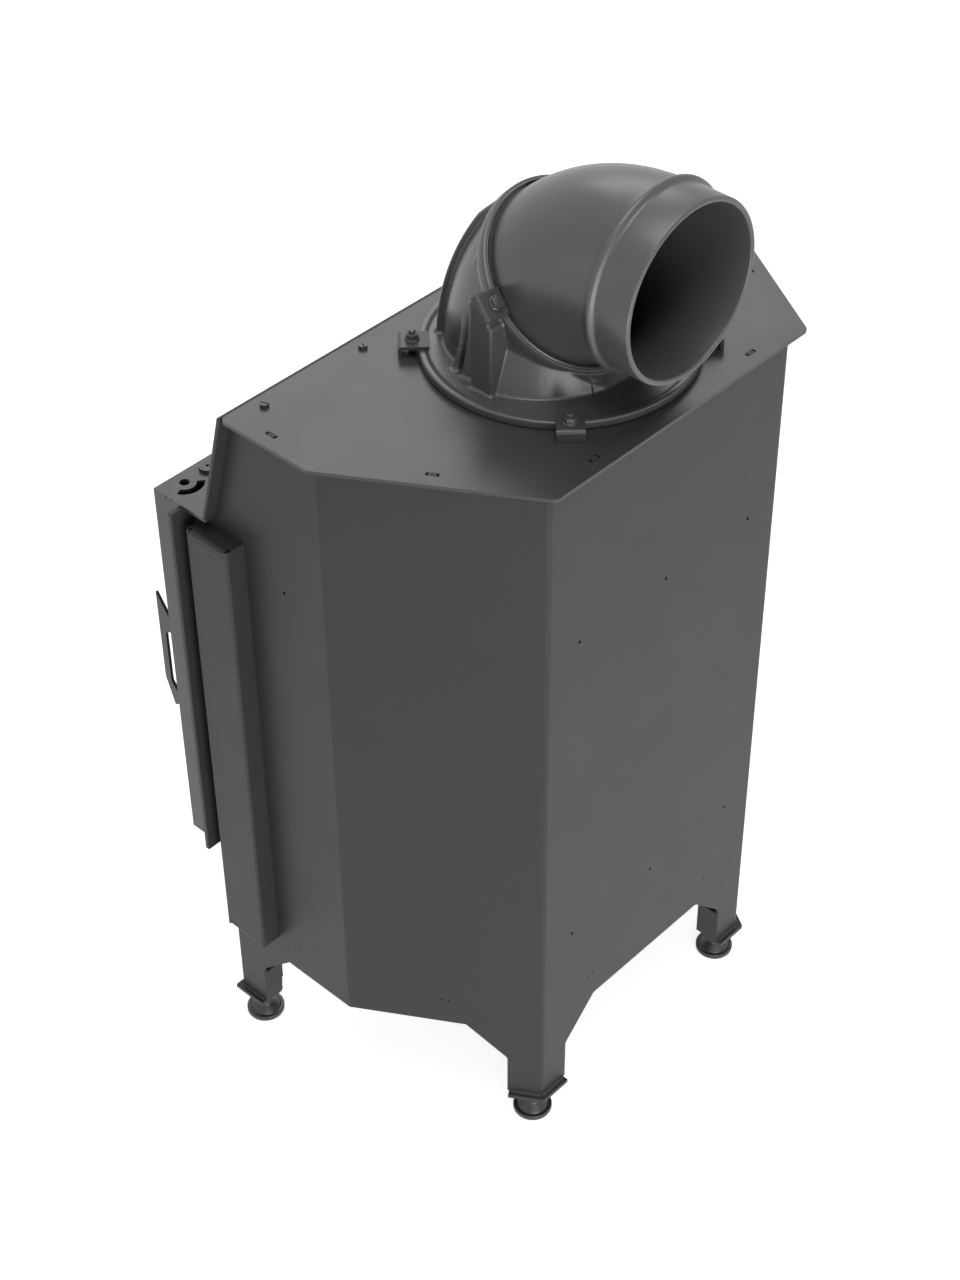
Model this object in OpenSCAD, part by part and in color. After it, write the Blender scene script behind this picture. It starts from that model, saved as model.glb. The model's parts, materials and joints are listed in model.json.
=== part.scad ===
// Wood-burning fireplace insert: folded steel body on four legs, framed glass door,
// side air ducts, lined firebox and a cast two-piece flue elbow that swivels.
// The front (door side) faces -Y, the flue collar points to +Y. Lengths are in millimetres.

/* [Body] */
// Width of the steel body over its side panels
body_w = 636; // [610:1:660]
// How far each angled panel leads in from the side to the back
wing = 125; // [115:1:135]
// Depth of the side panels, front edge to bend
side_d = 200; // [190:1:215]
// Depth taken up by the angled panels
angle_d = 204; // [195:1:220]
// Front edge of the body to the middle of the flue
flue_in = 246; // [240:1:252]
// Thickness of the folded body sheet
sheet_t = 4; // [3:0.5:5]
// Outside radius of the body's bends
bend_r = 8; // [6:1:12]
// Thickness of the top plate
top_t = 4; // [3:0.5:5]
// Overhang of the top plate past the panels
top_over = 16; // [12:1:20]
// Height of the steel floor plate's upper face
floor_h = 206; // [200:1:212]
// Height of the panels' lower edge between the legs
panel_low = 165; // [155:1:172]

/* [Legs] */
// Width of the body sheet left standing at each leg
leg_w = 43; // [38:1:48]
// Rise of the slanted haunch above each leg
haunch = 51; // [44:1:56]
// Height of a foot, floor to the leg's base plate
foot_h = 46; // [40:1:50]
// Thickness of the leg's base plate
base_t = 6; // [5:0.5:8]
// Radius of the foot's rim
foot_r = 24.3; // [21:0.1:27]
// Diameter of the threaded foot stud
stud_d = 12; // [10:1:14]
// How far each foot can be screwed out
foot_travel = 15; // [10:1:18]

/* [Front] */
// How far the face plate stands out past the door frame on each side
face_over = 16; // [12:1:20]
// Height of the face plate's lower edge
face_low = 324; // [316:1:330]
// Height of the face plate
face_h = 515; // [505:1:525]
// Thickness of the face plate
face_t = 6; // [5:0.5:8]
// Depth of the door frame's side walls
frame_d = 40; // [38:0.5:42]
// Thickness of the frame and hood plates
frame_t = 4; // [3:0.5:4.5]
// How far the frame's top shelf reaches back over the face plate's front
shelf_back = 43; // [40:1:46]
// How far the hood's foot leans forward of its top
hood_lean = 39; // [34:1:42]
// Height of the hood, from the frame's shelf up to the top plate's upper face
hood_h = 151; // [140:1:165]

/* [Door] */
// Gap between the door and the frame's side walls
door_side_gap = 12; // [10:0.5:14]
// Gap between the door and the frame above and below it
door_gap = 4; // [3:0.5:6]
// Height of the door's rails above and below the window
door_rail_h = 59.5; // [56:0.5:70]
// How far the glass laps behind the edge of the window
glass_lap = 7; // [5:0.5:9]
// Gap between the edge of the glass and the rib beside it
glass_gap = 0.7; // [0.5:0.1:2]
// Thickness of the ceramic glass
glass_t = 4; // [3:0.5:5]
// Thickness of the door's front wall
door_t = 8; // [7:0.5:9]
// Hinge axis, in from the frame's outer side
hinge_in = 30; // [29:0.5:31]
// Hinge axis, forward of the face plate
hinge_fwd = 23; // [22:0.5:23.5]
// Diameter of the hinge pins
hinge_d = 11; // [9:0.5:12]
// How far the door opens, in degrees
door_turn = 98; // [80:1:98]
// Diameter of the door's sealing rope
rope_d = 12; // [10:0.5:12]
// Height of the handle's grip
grip_h = 130; // [110:1:140]
// How far the grip stands out from the door's front
grip_out = 39; // [34:1:44]

/* [Air ducts] */
// How far each duct stands out from the side panel
duct_out = 26; // [20:1:30]
// Depth of the duct, front to back
duct_d = 65; // [60:1:70]
// Height of the duct
duct_h = 623; // [600:1:640]
// Sheet thickness of the ducts
duct_t = 2; // [1.5:0.5:3]

/* [Flue] */
// Outside diameter of the flue collar
collar_d = 200; // [180:1:200]
// Bend radius of the cast elbow
elbow_r = 143; // [141:0.5:146]
// Height of the elbow's bend centre below the top plate's upper face
elbow_drop = 2; // [0:0.5:4]
// Middle of the flue to the elbow's bend centre
elbow_back = 117; // [115:0.5:119]
// Wall of the castings
cast_t = 7; // [6:0.5:9]
// Length of the straight collar
collar_l = 54; // [48:1:60]
// Radius of the turret's round flange
flange_r = 151.6; // [149:0.1:154]
// Thickness of the turret's flange
flange_t = 10; // [8:0.5:12]
// Radius of the swivel ring
ring_r = 106.7; // [106:0.1:108]

/* [Lining] */
// Thickness of the firebrick panels
brick_t = 30; // [25:1:35]
// Height of the hearth above the floor
hearth_h = 372; // [366:1:376]
// Height of the firebrick walls above the hearth
brick_h = 430; // [400:1:440]

/* [Hidden] */
$fn = 64;
overrun = 1;        // how far cuts run past a face
clear = 0.3;        // fit between round faces of two pieces
seat = 0.2;         // gap between loose flat pieces

// Plan of the body: y = 0 is the middle of the flue
y_front = -flue_in;
y_bend = y_front + side_d;
y_back = y_bend + angle_d;
back_w = body_w - 2 * wing;
wing_l = sqrt(wing * wing + angle_d * angle_d);
wing_turn = atan2(wing, angle_d);

// Heights
face_top = face_low + face_h;
shelf_top = face_top + frame_t;
top_h = shelf_top + hood_h;
top_under = top_h - top_t;
strip_low = foot_h + base_t;

// Widths at the front
frame_w = body_w + 2 * top_over;
face_w = frame_w + 2 * face_over;
door_w = frame_w - 2 * (frame_t + door_side_gap);

// Depths at the front
y_face = y_front - face_t;
y_frame = y_face - frame_d;
y_shelf = y_face + shelf_back;
y_hood = y_shelf + hood_lean;
door_proud = 4;
y_door = y_frame - door_proud;

// Hinge axis and door heights
hinge_x = frame_w / 2 - hinge_in;
hinge_y = y_face - hinge_fwd;
door_low = face_low + frame_t + door_gap;
door_top = face_top - door_gap;
door_mid = (door_low + door_top) / 2;

// Window, set in from the hinge by the lug, the ribs and the groove of the rope
lug_w = 20;
rail_t = 6;
groove = rope_d / 2 + clear;
rope_off = groove + rail_t + glass_gap + glass_lap;
rope_x = hinge_x - lug_w / 2 + clear - rail_t - groove;
glass_w = 2 * (rope_x - rope_off);
glass_h = door_top - door_low - 2 * door_rail_h;
rope_z = glass_h / 2 + rope_off;

// Handle
grip_t = 10;
grip_w = 4;
pivot_in = 25.7;
pivot_x = frame_w / 2 - pivot_in;
pivot_out = 10;
pivot_d = 7;

// The middle of the outline stands at x = y = 0
y_far = y_back + top_over;
y_near = y_door - grip_out;
y_shift = -(y_far + y_near) / 2;

// Elbow: bend centre, swivel ring and collar
swivel = 45;
elbow_z = top_h - elbow_drop;
ring_y = elbow_back - elbow_r * sin(swivel);
ring_z = elbow_z + elbow_r * cos(swivel);
collar_z = elbow_z + elbow_r;
foot_y = elbow_back - elbow_r;
collar_slope = 1;
tube_r = collar_d / 2 - collar_slope;

// Plan of the body set in by d (set out where d is negative), open or closed at the front edge y0
function plan(d, y0) = [
  [body_w / 2 - d, y0],
  [body_w / 2 - d, y_bend - d * (wing_l - angle_d) / wing],
  [back_w / 2 - d * (wing_l - wing) / angle_d, y_back - d],
  [-back_w / 2 + d * (wing_l - wing) / angle_d, y_back - d],
  [-body_w / 2 + d, y_bend - d * (wing_l - angle_d) / wing],
  [-body_w / 2 + d, y0]];

// Unit vector from p to q, and the outline pts with each corner rounded to radius r by n chords
function unit(p, q) = (q - p) / norm(q - p);
function bent(a, p, b, r, n) =
  let (u = unit(p, a), v = unit(p, b), half = acos(u * v) / 2,
       mid = unit([0, 0], u + v), c = p + mid * r / sin(half), reach = r / tan(half),
       from = p + u * reach - c, to = p + v * reach - c)
  [for (k = [0:n]) let (w = from * (n - k) / n + to * k / n) c + w / norm(w) * r];
function rounded(pts, r, n = 4) =
  let (m = len(pts)) [for (i = [0:m - 1]) each bent(pts[(i + m - 1) % m], pts[i], pts[(i + 1) % m], r, n)];

// Wall of sheet t, its outer face set in by d, round the sides and back, with rounded bends
function inner_bends(d, y0, r) = let (p = plan(d, y0))
  concat([p[0]], bent(p[0], p[1], p[2], r, 4), bent(p[1], p[2], p[3], r, 4),
         bent(p[2], p[3], p[4], r, 4), bent(p[3], p[4], p[5], r, 4), [p[5]]);
function backwards(pts) = [for (i = [len(pts) - 1:-1:0]) pts[i]];

module placed() { translate([0, y_shift, 0]) children(); }
module both_sides() { children(); mirror([1, 0, 0]) children(); }
// Box from its lowest corner to its highest corner
module box(a, b) { translate(a) cube(b - a); }
// Outline drawn in (y, z), extruded along x from x0 by w
module side_on(x0, w) {
  translate([x0, 0, 0]) rotate([90, 0, 90]) linear_extrude(w) children();
}
// Outline drawn in (x, z), extruded along y from y0 by w
module front_on(y0, w) {
  translate([0, y0 + w, 0]) rotate([90, 0, 0]) linear_extrude(w) children();
}

// Cut between two legs: leg edges at a and b along the panel, haunches up to the panel's lower edge
module leg_cut(a, b) {
  polygon(rounded([[a, foot_h - overrun], [a, panel_low - haunch], [a + haunch, panel_low],
                   [b - haunch, panel_low], [b, panel_low - haunch], [b, foot_h - overrun]], bend_r, 3));
}
hole_d = 4.5;
hole_in_share = 0.37;
hole_side_share = 0.69;
hole_from_top = 231;
hole_lift = 25;
hole_from_floor = 101;
duct_under = 5;
duct_in = 14;
duct_low = floor_h - duct_under;
duct_front = y_front + duct_in;
duct_rear = duct_front + duct_d;
slot_h = 40;
slot_inset = 10;
tab_l = 9;
tab_end = 2.5;

module body_shell() {
  wall = concat(inner_bends(0, y_front, bend_r),
                backwards(inner_bends(sheet_t, y_front, bend_r - sheet_t)));
  hood_cut = [[y_front - overrun, face_top], [y_shelf, face_top], [y_shelf, shelf_top],
              [y_hood, top_under], [y_hood, top_h + overrun], [y_front - overrun, top_h + overrun]];
  color("#3a3b3d") placed() difference() {
    union() {
      translate([0, 0, strip_low]) linear_extrude(top_under - strip_low) polygon(wall);
      top_tabs(tab_l, 0);
    }
    side_on(-body_w, 2 * body_w) polygon(hood_cut);
    front_on(y_back - 2 * bend_r, 3 * bend_r) leg_cut(leg_w - back_w / 2, back_w / 2 - leg_w);
    both_sides() {
      side_on(body_w / 2 - bend_r, 2 * bend_r)
        polygon(concat([[y_bend + bend_r, foot_h - overrun]],
          [[y_front + leg_w, foot_h - overrun]],
          bent([y_front + leg_w, foot_h], [y_front + leg_w, panel_low - haunch],
               [y_front + leg_w + haunch, panel_low], bend_r, 3),
          [[y_front + leg_w + haunch, panel_low], [y_bend + bend_r, panel_low]]));
      on_wing() translate([0, -2 * bend_r, 0]) front_on(0, 3 * bend_r)
        polygon(concat([[-bend_r, foot_h - overrun], [-bend_r, panel_low]],
          [[wing_l - leg_w - haunch, panel_low]],
          bent([wing_l - leg_w - haunch, panel_low], [wing_l - leg_w, panel_low - haunch],
               [wing_l - leg_w, foot_h], bend_r, 3),
          [[wing_l - leg_w, foot_h - overrun]]));
      duct_slot(duct_low + slot_inset);
      duct_slot(duct_low + duct_h - slot_inset - slot_h);
      panel_hole([body_w / 2, y_front + side_d * hole_side_share, top_h - hole_from_top + hole_lift],
                 [0, 90, 0]);
    }
    for (x = [-1, 0, 1]) for (z = [top_h - hole_from_top, floor_h + hole_from_floor])
      panel_hole([x * back_w * hole_in_share, y_back, z], [90, 0, 0]);
    z = floor_h - sheet_t / 2;
    both_sides() for (e = [-tab_l / 2, tab_l / 2]) {
      translate([body_w / 2, y_front + side_d * relief_side_share + e, z]) rotate([0, 90, 0]) relief();
      translate([back_w * relief_back_share + e, y_back, z]) rotate([90, 0, 0]) relief();
      on_wing() translate([wing_l / 2 + e, 0, z]) rotate([90, 0, 0]) relief();
    }
  }
}
relief_d = 2.4;
relief_side_share = 0.56;
relief_back_share = 0.277;
module relief() { cylinder(h = sheet_t, d = relief_d, center = true); }
module panel_hole(at, turn) {
  translate(at) rotate(turn) cylinder(h = 4 * sheet_t, d = hole_d, center = true);
}
module duct_slot(z) {
  box([body_w / 2 - sheet_t - overrun, duct_front + slot_inset, z],
      [body_w / 2 + overrun, duct_rear - slot_inset, z + slot_h]);
}
// Frame on the right angled panel: x runs along it from the side bend, y points outwards
module on_wing() {
  translate([body_w / 2, y_bend, 0]) rotate([0, 0, 90 + wing_turn]) mirror([0, 1, 0]) children();
}
// Tabs of the body that come up flush through the top plate, longer by extra at each end for their slots
module top_tabs(l, extra) {
  z0 = top_under - overrun * (extra > 0 ? 1 : 0);
  z1 = top_h + overrun * (extra > 0 ? 1 : 0);
  w = sheet_t + extra / 4;
  both_sides() {
    translate([body_w / 2 - sheet_t / 2, y_front + side_d * tab_side_share, 0]) tab(w, l + extra, z0, z1);
    translate([back_w * tab_back_share, y_back - sheet_t / 2, 0]) rotate(90) tab(w, l + extra, z0, z1);
    on_wing() translate([wing_l / 2, -sheet_t / 2, 0]) rotate(90) tab(w, l + extra, z0, z1);
  }
}
tab_side_share = 0.675;
tab_back_share = 0.326;
module tab(w, l, z0, z1) { box([-w / 2, -l / 2, z0], [w / 2, l / 2, z1]); }

screw_pitch = 143;
screw_turns = [-2, -1, 1, 2];
screw_in = 17;
m6 = 6;
module top_plate() {
  outline = concat(rounded(plan(-top_over, y_hood), bend_r));
  color("#434446") placed() difference() {
    translate([0, 0, top_under]) linear_extrude(top_t) polygon(outline);
    translate([0, foot_y, top_under - overrun])
      cylinder(h = top_t + 2 * overrun, r = tube_r - cast_t - clear);
    top_tabs(tab_l, 2 * tab_end);
    for (k = screw_turns) translate([k * screw_pitch, y_hood + screw_in, top_under - overrun])
      cylinder(h = top_t + 2 * overrun, d = m6 + clear);
    for (a = [45:90:315]) rotate(a) translate([stud_r, 0, top_under - overrun])
      cylinder(h = top_t + 2 * overrun, d = stud_m);
  }
}

// Hood: sloping plate from the top plate's front edge down to the frame's shelf
module hood_plate() {
  w = body_w + 2 * top_over;
  color("#3a3b3d") placed() side_on(-w / 2, w)
    polygon([[y_hood, top_under], [y_hood, top_h], [y_hood - frame_t, top_h],
             [y_shelf - frame_t, shelf_top], [y_shelf, shelf_top]]);
}

hole_over = 4;
door_hole_w = glass_w + 2 * hole_over;
door_hole_h = glass_h + 2 * hole_over;
module face_plate() {
  color("#38393b") placed() difference() {
    box([-face_w / 2, y_face, face_low], [face_w / 2, y_front, face_top]);
    box([-door_hole_w / 2, y_face - overrun, door_mid - door_hole_h / 2],
        [door_hole_w / 2, y_front + overrun, door_mid + door_hole_h / 2]);
  }
}

stop_r = 18;
stop_w = 9;
rest_turn = 36;
spare_turn = 9;
from_turn = rest_turn - spare_turn;
to_turn = rest_turn + door_turn + spare_turn;
tab_from_face = 16;
boss_in = 64;
boss_d = 20;
boss_h = 4;
boss_hole_d = 4;
module door_frame() {
  color("#424345") placed() difference() {
    union() {
      both_sides() box([frame_w / 2 - frame_t, y_frame, face_low], [frame_w / 2, y_face, face_top]);
      box([-frame_w / 2 + frame_t, y_frame, face_low], [frame_w / 2 - frame_t, y_face, face_low + frame_t]);
      box([-frame_w / 2, y_frame, face_top], [frame_w / 2, y_shelf, shelf_top]);
      both_sides() translate([frame_w / 2 - boss_in, hinge_y, shelf_top]) cylinder(h = boss_h, d = boss_d);
    }
    both_sides() for (e = [-tab_l / 2, tab_l / 2])
      translate([frame_w / 2, y_face - tab_from_face + e, face_top + frame_t / 2])
        rotate([0, 90, 0]) relief();
    both_sides() translate([hinge_x, hinge_y, 0]) {
      translate([0, 0, face_low - overrun]) cylinder(h = frame_t + 2 * overrun, d = hinge_d + 2 * clear);
      translate([0, 0, face_top - overrun]) cylinder(h = frame_t + 2 * overrun, d = hinge_d + 2 * clear);
      translate([0, 0, face_top - overrun]) linear_extrude(frame_t + 2 * overrun) stop_slot();
      translate([frame_w / 2 - boss_in - hinge_x, 0, face_top - overrun])
        cylinder(h = boss_h + frame_t + 2 * overrun, d = boss_hole_d);
    }
  }
}
module stop_slot() {
  span = to_turn - from_turn;
  steps = 12;
  turns = [for (k = [0:steps]) from_turn + span * k / steps];
  polygon(concat([for (a = turns) (stop_r + stop_w / 2) * [cos(a), sin(a)]],
                 [for (a = backwards(turns)) (stop_r - stop_w / 2) * [cos(a), sin(a)]]));
}

air_w = 120;
air_h = 30;
air_z = 262;
rail_h = 7;
air_travel = 50;
module lower_front_panel() {
  x = body_w / 2 - sheet_t;
  color("#38393b") placed() difference() {
    box([-x, y_front, strip_low], [x, y_front + sheet_t, face_low + face_t]);
    front_on(y_front - overrun, sheet_t + 2 * overrun) leg_cut(leg_w - body_w / 2, body_w / 2 - leg_w);
    box([-air_w / 2, y_front - overrun, air_z - air_h / 2],
        [air_w / 2, y_front + sheet_t + overrun, air_z + air_h / 2]);
  }
}
module air_slider() {
  color("#505255") placed() difference() {
    box([-air_w, y_front - sheet_t - seat, air_z - air_h], [air_w, y_front - seat, air_z + air_h]);
    box([-air_w / 2 - air_travel, y_front - 2 * sheet_t, air_z - air_h / 2 + overrun],
        [air_w / 2 - air_travel - air_w * open_share, y_front + overrun, air_z + air_h / 2 - overrun]);
  }
}
open_share = 0.3;
knob_l = 34;
knob_d = 12;
module air_knob() {
  y0 = y_front - sheet_t - seat;
  color("#202123") placed() translate([air_w * knob_share, y0, air_z]) rotate([90, 0, 0]) {
    cylinder(h = knob_l, d = m6);
    translate([0, 0, knob_l / 2]) cylinder(h = knob_l / 2, d1 = knob_d, d2 = knob_d + sheet_t);
  }
}
knob_share = 0.8;
module slider_guides() {
  w = air_w + air_travel + 2 * rail_h;
  y0 = y_front - 2 * (sheet_t + seat);
  color("#38393b") placed() for (s = [-1, 1]) {
    a = air_z + s * (air_h + clear);
    b = air_z + s * (air_h + rail_h);
    c = air_z + s * (air_h - rail_h);
    box([-w, y_front - sheet_t - 2 * seat, min(a, b)], [w, y_front, max(a, b)]);
    box([-w, y0 - sheet_t / 2, min(b, c)], [w, y_front - sheet_t - 2 * seat, max(b, c)]);
  }
}

module floor_plate() {
  color("#2f3032") placed() translate([0, 0, floor_h - sheet_t]) linear_extrude(sheet_t)
    polygon(inner_bends(sheet_t, y_front + sheet_t, bend_r - sheet_t));
}

module side_duct(s) {
  x0 = body_w / 2;
  x1 = x0 + duct_out;
  z1 = duct_low + duct_h;
  color("#37383a") placed() mirror([s, 0, 0]) difference() {
    translate([0, 0, duct_low]) linear_extrude(duct_h)
      polygon(concat([[x0, duct_front]],
        bent([x0, duct_front], [x1, duct_front], [x1, duct_rear], 2 * duct_t, 4),
        bent([x1, duct_front], [x1, duct_rear], [x0, duct_rear], 2 * duct_t, 4),
        [[x0, duct_rear]]));
    box([x0 - overrun, duct_front + duct_t, duct_low + duct_t],
        [x1 - duct_t, duct_rear - duct_t, z1 - duct_t]);
  }
}
module side_duct_left() { side_duct(1); }
module side_duct_right() { side_duct(0); }

// Base plate of a leg with its stiffening webs, drawn for the right side
lip = 7;
plate_in = 2;
web_t = 5;
web_l = 24;
web_h = 52;
front_foot_in = 20.3;
front_foot_back = 15;
rear_foot_in = 11.6;
rear_foot_fwd = 25;
front_foot = [body_w / 2 - front_foot_in, y_front + front_foot_back];
rear_foot = [back_w / 2 - rear_foot_in, y_back - rear_foot_fwd];
module leg_base(rear) {
  at = rear ? rear_foot : front_foot;
  t = sheet_t;
  out_p = plan(-lip, y_front - lip);
  reach = leg_w + lip * tan((90 - wing_turn) / 2) - plate_in;
  end = web_l + t;
  difference() {
    union() {
      translate([0, 0, foot_h]) linear_extrude(base_t) if (rear)
        polygon([out_p[2] + unit(out_p[2], out_p[1]) * reach, out_p[2], out_p[2] + [-reach, 0],
                 out_p[2] + [-reach, -reach * depth_share],
                 out_p[2] + unit(out_p[2], out_p[1]) * reach
                   - [angle_d, wing] / wing_l * reach * depth_share]);
      else
        polygon([[body_w / 2 + lip, y_front + leg_w - plate_in], [body_w / 2 + lip, y_front - lip],
                 [body_w / 2 - leg_w + plate_in, y_front - lip],
                 [body_w / 2 - leg_w + plate_in, y_front + end],
                 [body_w / 2 - end, y_front + leg_w - plate_in]]);
      translate([0, 0, strip_low]) if (rear) {
        box([back_w / 2 - leg_w, y_back - t - web_l - web_t, 0],
            [back_w / 2 - leg_w + web_t, y_back - t, web_h]);
        on_wing() box([wing_l - leg_w, -t - web_l, 0], [wing_l - leg_w + web_t, -t, web_h]);
      } else {
        box([body_w / 2 - t - web_l, y_front + leg_w - web_t, 0],
            [body_w / 2 - t, y_front + leg_w, web_h]);
        box([body_w / 2 - leg_w, y_front + t, 0],
            [body_w / 2 - leg_w + web_t, y_front + t + web_l, web_h]);
      }
    }
    translate([at[0], at[1], foot_h - overrun]) cylinder(h = base_t + 2 * overrun, d = stud_d + 2 * clear);
  }
}
depth_share = 0.75;
module leg_base_front_left() { color("#3d3e40") placed() mirror([1, 0, 0]) leg_base(false); }
module leg_base_front_right() { color("#3d3e40") placed() leg_base(false); }
module leg_base_rear_left() { color("#3d3e40") placed() mirror([1, 0, 0]) leg_base(true); }
module leg_base_rear_right() { color("#3d3e40") placed() leg_base(true); }

// Levelling foot: rim, cone, neck and threaded stud, on the floor
rim_h = 8;
cone_share = 0.8;
neck_share = 0.38;
neck_h = 8;
nut_h = 10;
module foot(at) {
  color("#2c2d2f") placed() translate([at[0], at[1], 0]) {
    neck_z = foot_h - neck_h - foot_gap;
    neck_r = foot_r * neck_share;
    cylinder(h = rim_h, r = foot_r);
    translate([0, 0, rim_h]) cylinder(h = neck_z - rim_h, r1 = foot_r * cone_share, r2 = neck_r);
    translate([0, 0, neck_z]) cylinder(h = neck_h, r = neck_r);
    cylinder(h = strip_low + nut_h + foot_travel, d = stud_d);
  }
}
foot_gap = 2;
module foot_front_left() { mirror([1, 0, 0]) foot(front_foot); }
module foot_front_right() { foot(front_foot); }
module foot_rear_left() { mirror([1, 0, 0]) foot(rear_foot); }
module foot_rear_right() { foot(rear_foot); }
// Hexagon nut of width af across its flats, with a bore
module nut(af, h, bore) {
  difference() {
    cylinder(h = h, d = af / cos(30), $fn = 6);
    translate([0, 0, -overrun]) cylinder(h = h + 2 * overrun, d = bore);
  }
}
nut_af = 18;
module leg_nuts() {
  color("#8a8c8e") placed() both_sides() for (at = [front_foot, rear_foot])
    translate([at[0], at[1], strip_low]) nut(nut_af, nut_h, stud_d + 2 * clear);
}

// Folded stand that carries the hearth above the ash space
hearth_gap = 3;
stand_t = 3;
hearth_under = hearth_h - brick_t;
slab_front = y_front + 2 * sheet_t;
grate_w = 220;
grate_d = 180;
grate_fwd = 20;
grate_y = y_bend - grate_fwd;
module hearth_stand() {
  gap = sheet_t + hearth_gap;
  color("#2f3032") placed() difference() {
    translate([0, 0, floor_h]) linear_extrude(hearth_under - floor_h) polygon(plan(gap, slab_front));
    translate([0, 0, floor_h - overrun]) linear_extrude(hearth_under - floor_h - stand_t + overrun)
      polygon(plan(gap + stand_t, slab_front + stand_t));
    grate_hole(0);
    box([-air_w, slab_front - overrun, floor_h + rail_h],
        [air_w, slab_front + 2 * stand_t, hearth_under - rail_h]);
    both_sides() box([body_w / 2 - gap - 2 * stand_t, duct_front, floor_h + rail_h],
      [body_w / 2, duct_rear, hearth_under - rail_h]);
  }
}
module grate_hole(grow) {
  box([-grate_w / 2 - grow, grate_y - grate_d / 2 - grow, floor_h + stand_t],
      [grate_w / 2 + grow, grate_y + grate_d / 2 + grow, hearth_h + overrun]);
}
module hearth_slab() {
  color("#b9a98c") placed() difference() {
    translate([0, 0, hearth_under]) linear_extrude(brick_t) polygon(plan(sheet_t + hearth_gap, slab_front));
    grate_hole(seat);
    reach = grate_lip + seat;
    box([-grate_w / 2 - reach, grate_y - grate_d / 2 - reach, hearth_h - grate_t],
        [grate_w / 2 + reach, grate_y + grate_d / 2 + reach, hearth_h + overrun]);
  }
}
grate_t = 12;
grate_lip = 12;
bar_n = 11;
module grate() {
  w = grate_w + 2 * grate_lip;
  d = grate_d + 2 * grate_lip;
  pitch = grate_w / bar_n;
  color("#2b2c2e") placed() translate([-w / 2, grate_y - d / 2, hearth_h - grate_t]) difference() {
    cube([w, d, grate_t]);
    for (k = [0:bar_n - 1])
      translate([grate_lip + pitch * (k + bar_gap_share / 2), 2 * grate_lip, -overrun])
        cube([pitch * (1 - bar_gap_share), d - 4 * grate_lip, grate_t + 2 * overrun]);
  }
}
bar_gap_share = 0.5;
pan_h = 60;
pan_t = 2;
module ash_pan() {
  w = grate_w - 2 * hearth_gap;
  d = grate_d - 2 * hearth_gap;
  color("#4a4c4f") placed() translate([-w / 2, grate_y - d / 2, floor_h]) difference() {
    cube([w, d, pan_h]);
    translate([pan_t, pan_t, pan_t]) cube([w - 2 * pan_t, d - 2 * pan_t, pan_h]);
  }
}

// Firebrick walls stand on the hearth, a small gap clear of the steel
wall_gap = hearth_gap;
brick_in = sheet_t + wall_gap;
brick_back_off = 12;
brick_front = y_front + brick_back_off;
function brick_out() = plan(brick_in, brick_front);
function brick_inn() = plan(brick_in + brick_t, brick_front);
module brick(pts) {
  color("#c9b994") placed() translate([0, 0, hearth_h]) linear_extrude(brick_h) polygon(pts);
}
module brick_back() {
  brick([brick_out()[2] - [seat, 0], brick_inn()[2] - [seat, 0],
         brick_inn()[3] + [seat, 0], brick_out()[3] + [seat, 0]]);
}
module brick_angle_right() { brick([brick_out()[1], brick_inn()[1], brick_inn()[2], brick_out()[2]]); }
module brick_angle_left() { mirror([1, 0, 0]) brick_angle_right(); }
module brick_side_right() {
  brick([[brick_out()[1][0], brick_front], [brick_inn()[1][0], brick_front],
         brick_inn()[1] - [0, seat], brick_out()[1] - [0, seat]]);
}
module brick_side_left() { mirror([1, 0, 0]) brick_side_right(); }

// Baffle: a plate over the fire that rests on ledges along the side walls and leans on the back bricks
baffle_t = 25;
baffle_rise = 24;
baffle_z = hearth_h + brick_h + baffle_rise;
ledge_w = 60;
ledge_t = 3;
throat = 110;
baffle_front = y_front + throat;
module baffle_plate() {
  color("#c9b994") placed() translate([0, 0, baffle_z]) linear_extrude(baffle_t)
    polygon(plan(sheet_t + 2 * wall_gap, baffle_front));
}
module baffle_ledges() {
  color("#2f3032") placed() both_sides() {
    x = body_w / 2 - sheet_t;
    y = y_bend - bend_r;
    box([x - ledge_w, baffle_front, baffle_z - ledge_t], [x, y, baffle_z]);
    box([x - ledge_t, baffle_front, baffle_z - ledge_w / 3], [x, y, baffle_z - ledge_t]);
  }
}
guard_h = 40;
module log_guard() {
  w = door_hole_w - 2 * brick_t;
  y0 = slab_front + hearth_gap;
  color("#2b2c2e") placed() {
    box([-w / 2, y0, hearth_h], [w / 2, y0 + 2 * grate_lip, hearth_h + stand_t]);
    box([-w / 2, y0, hearth_h + stand_t], [w / 2, y0 + stand_t, hearth_h + guard_h]);
  }
}
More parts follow.
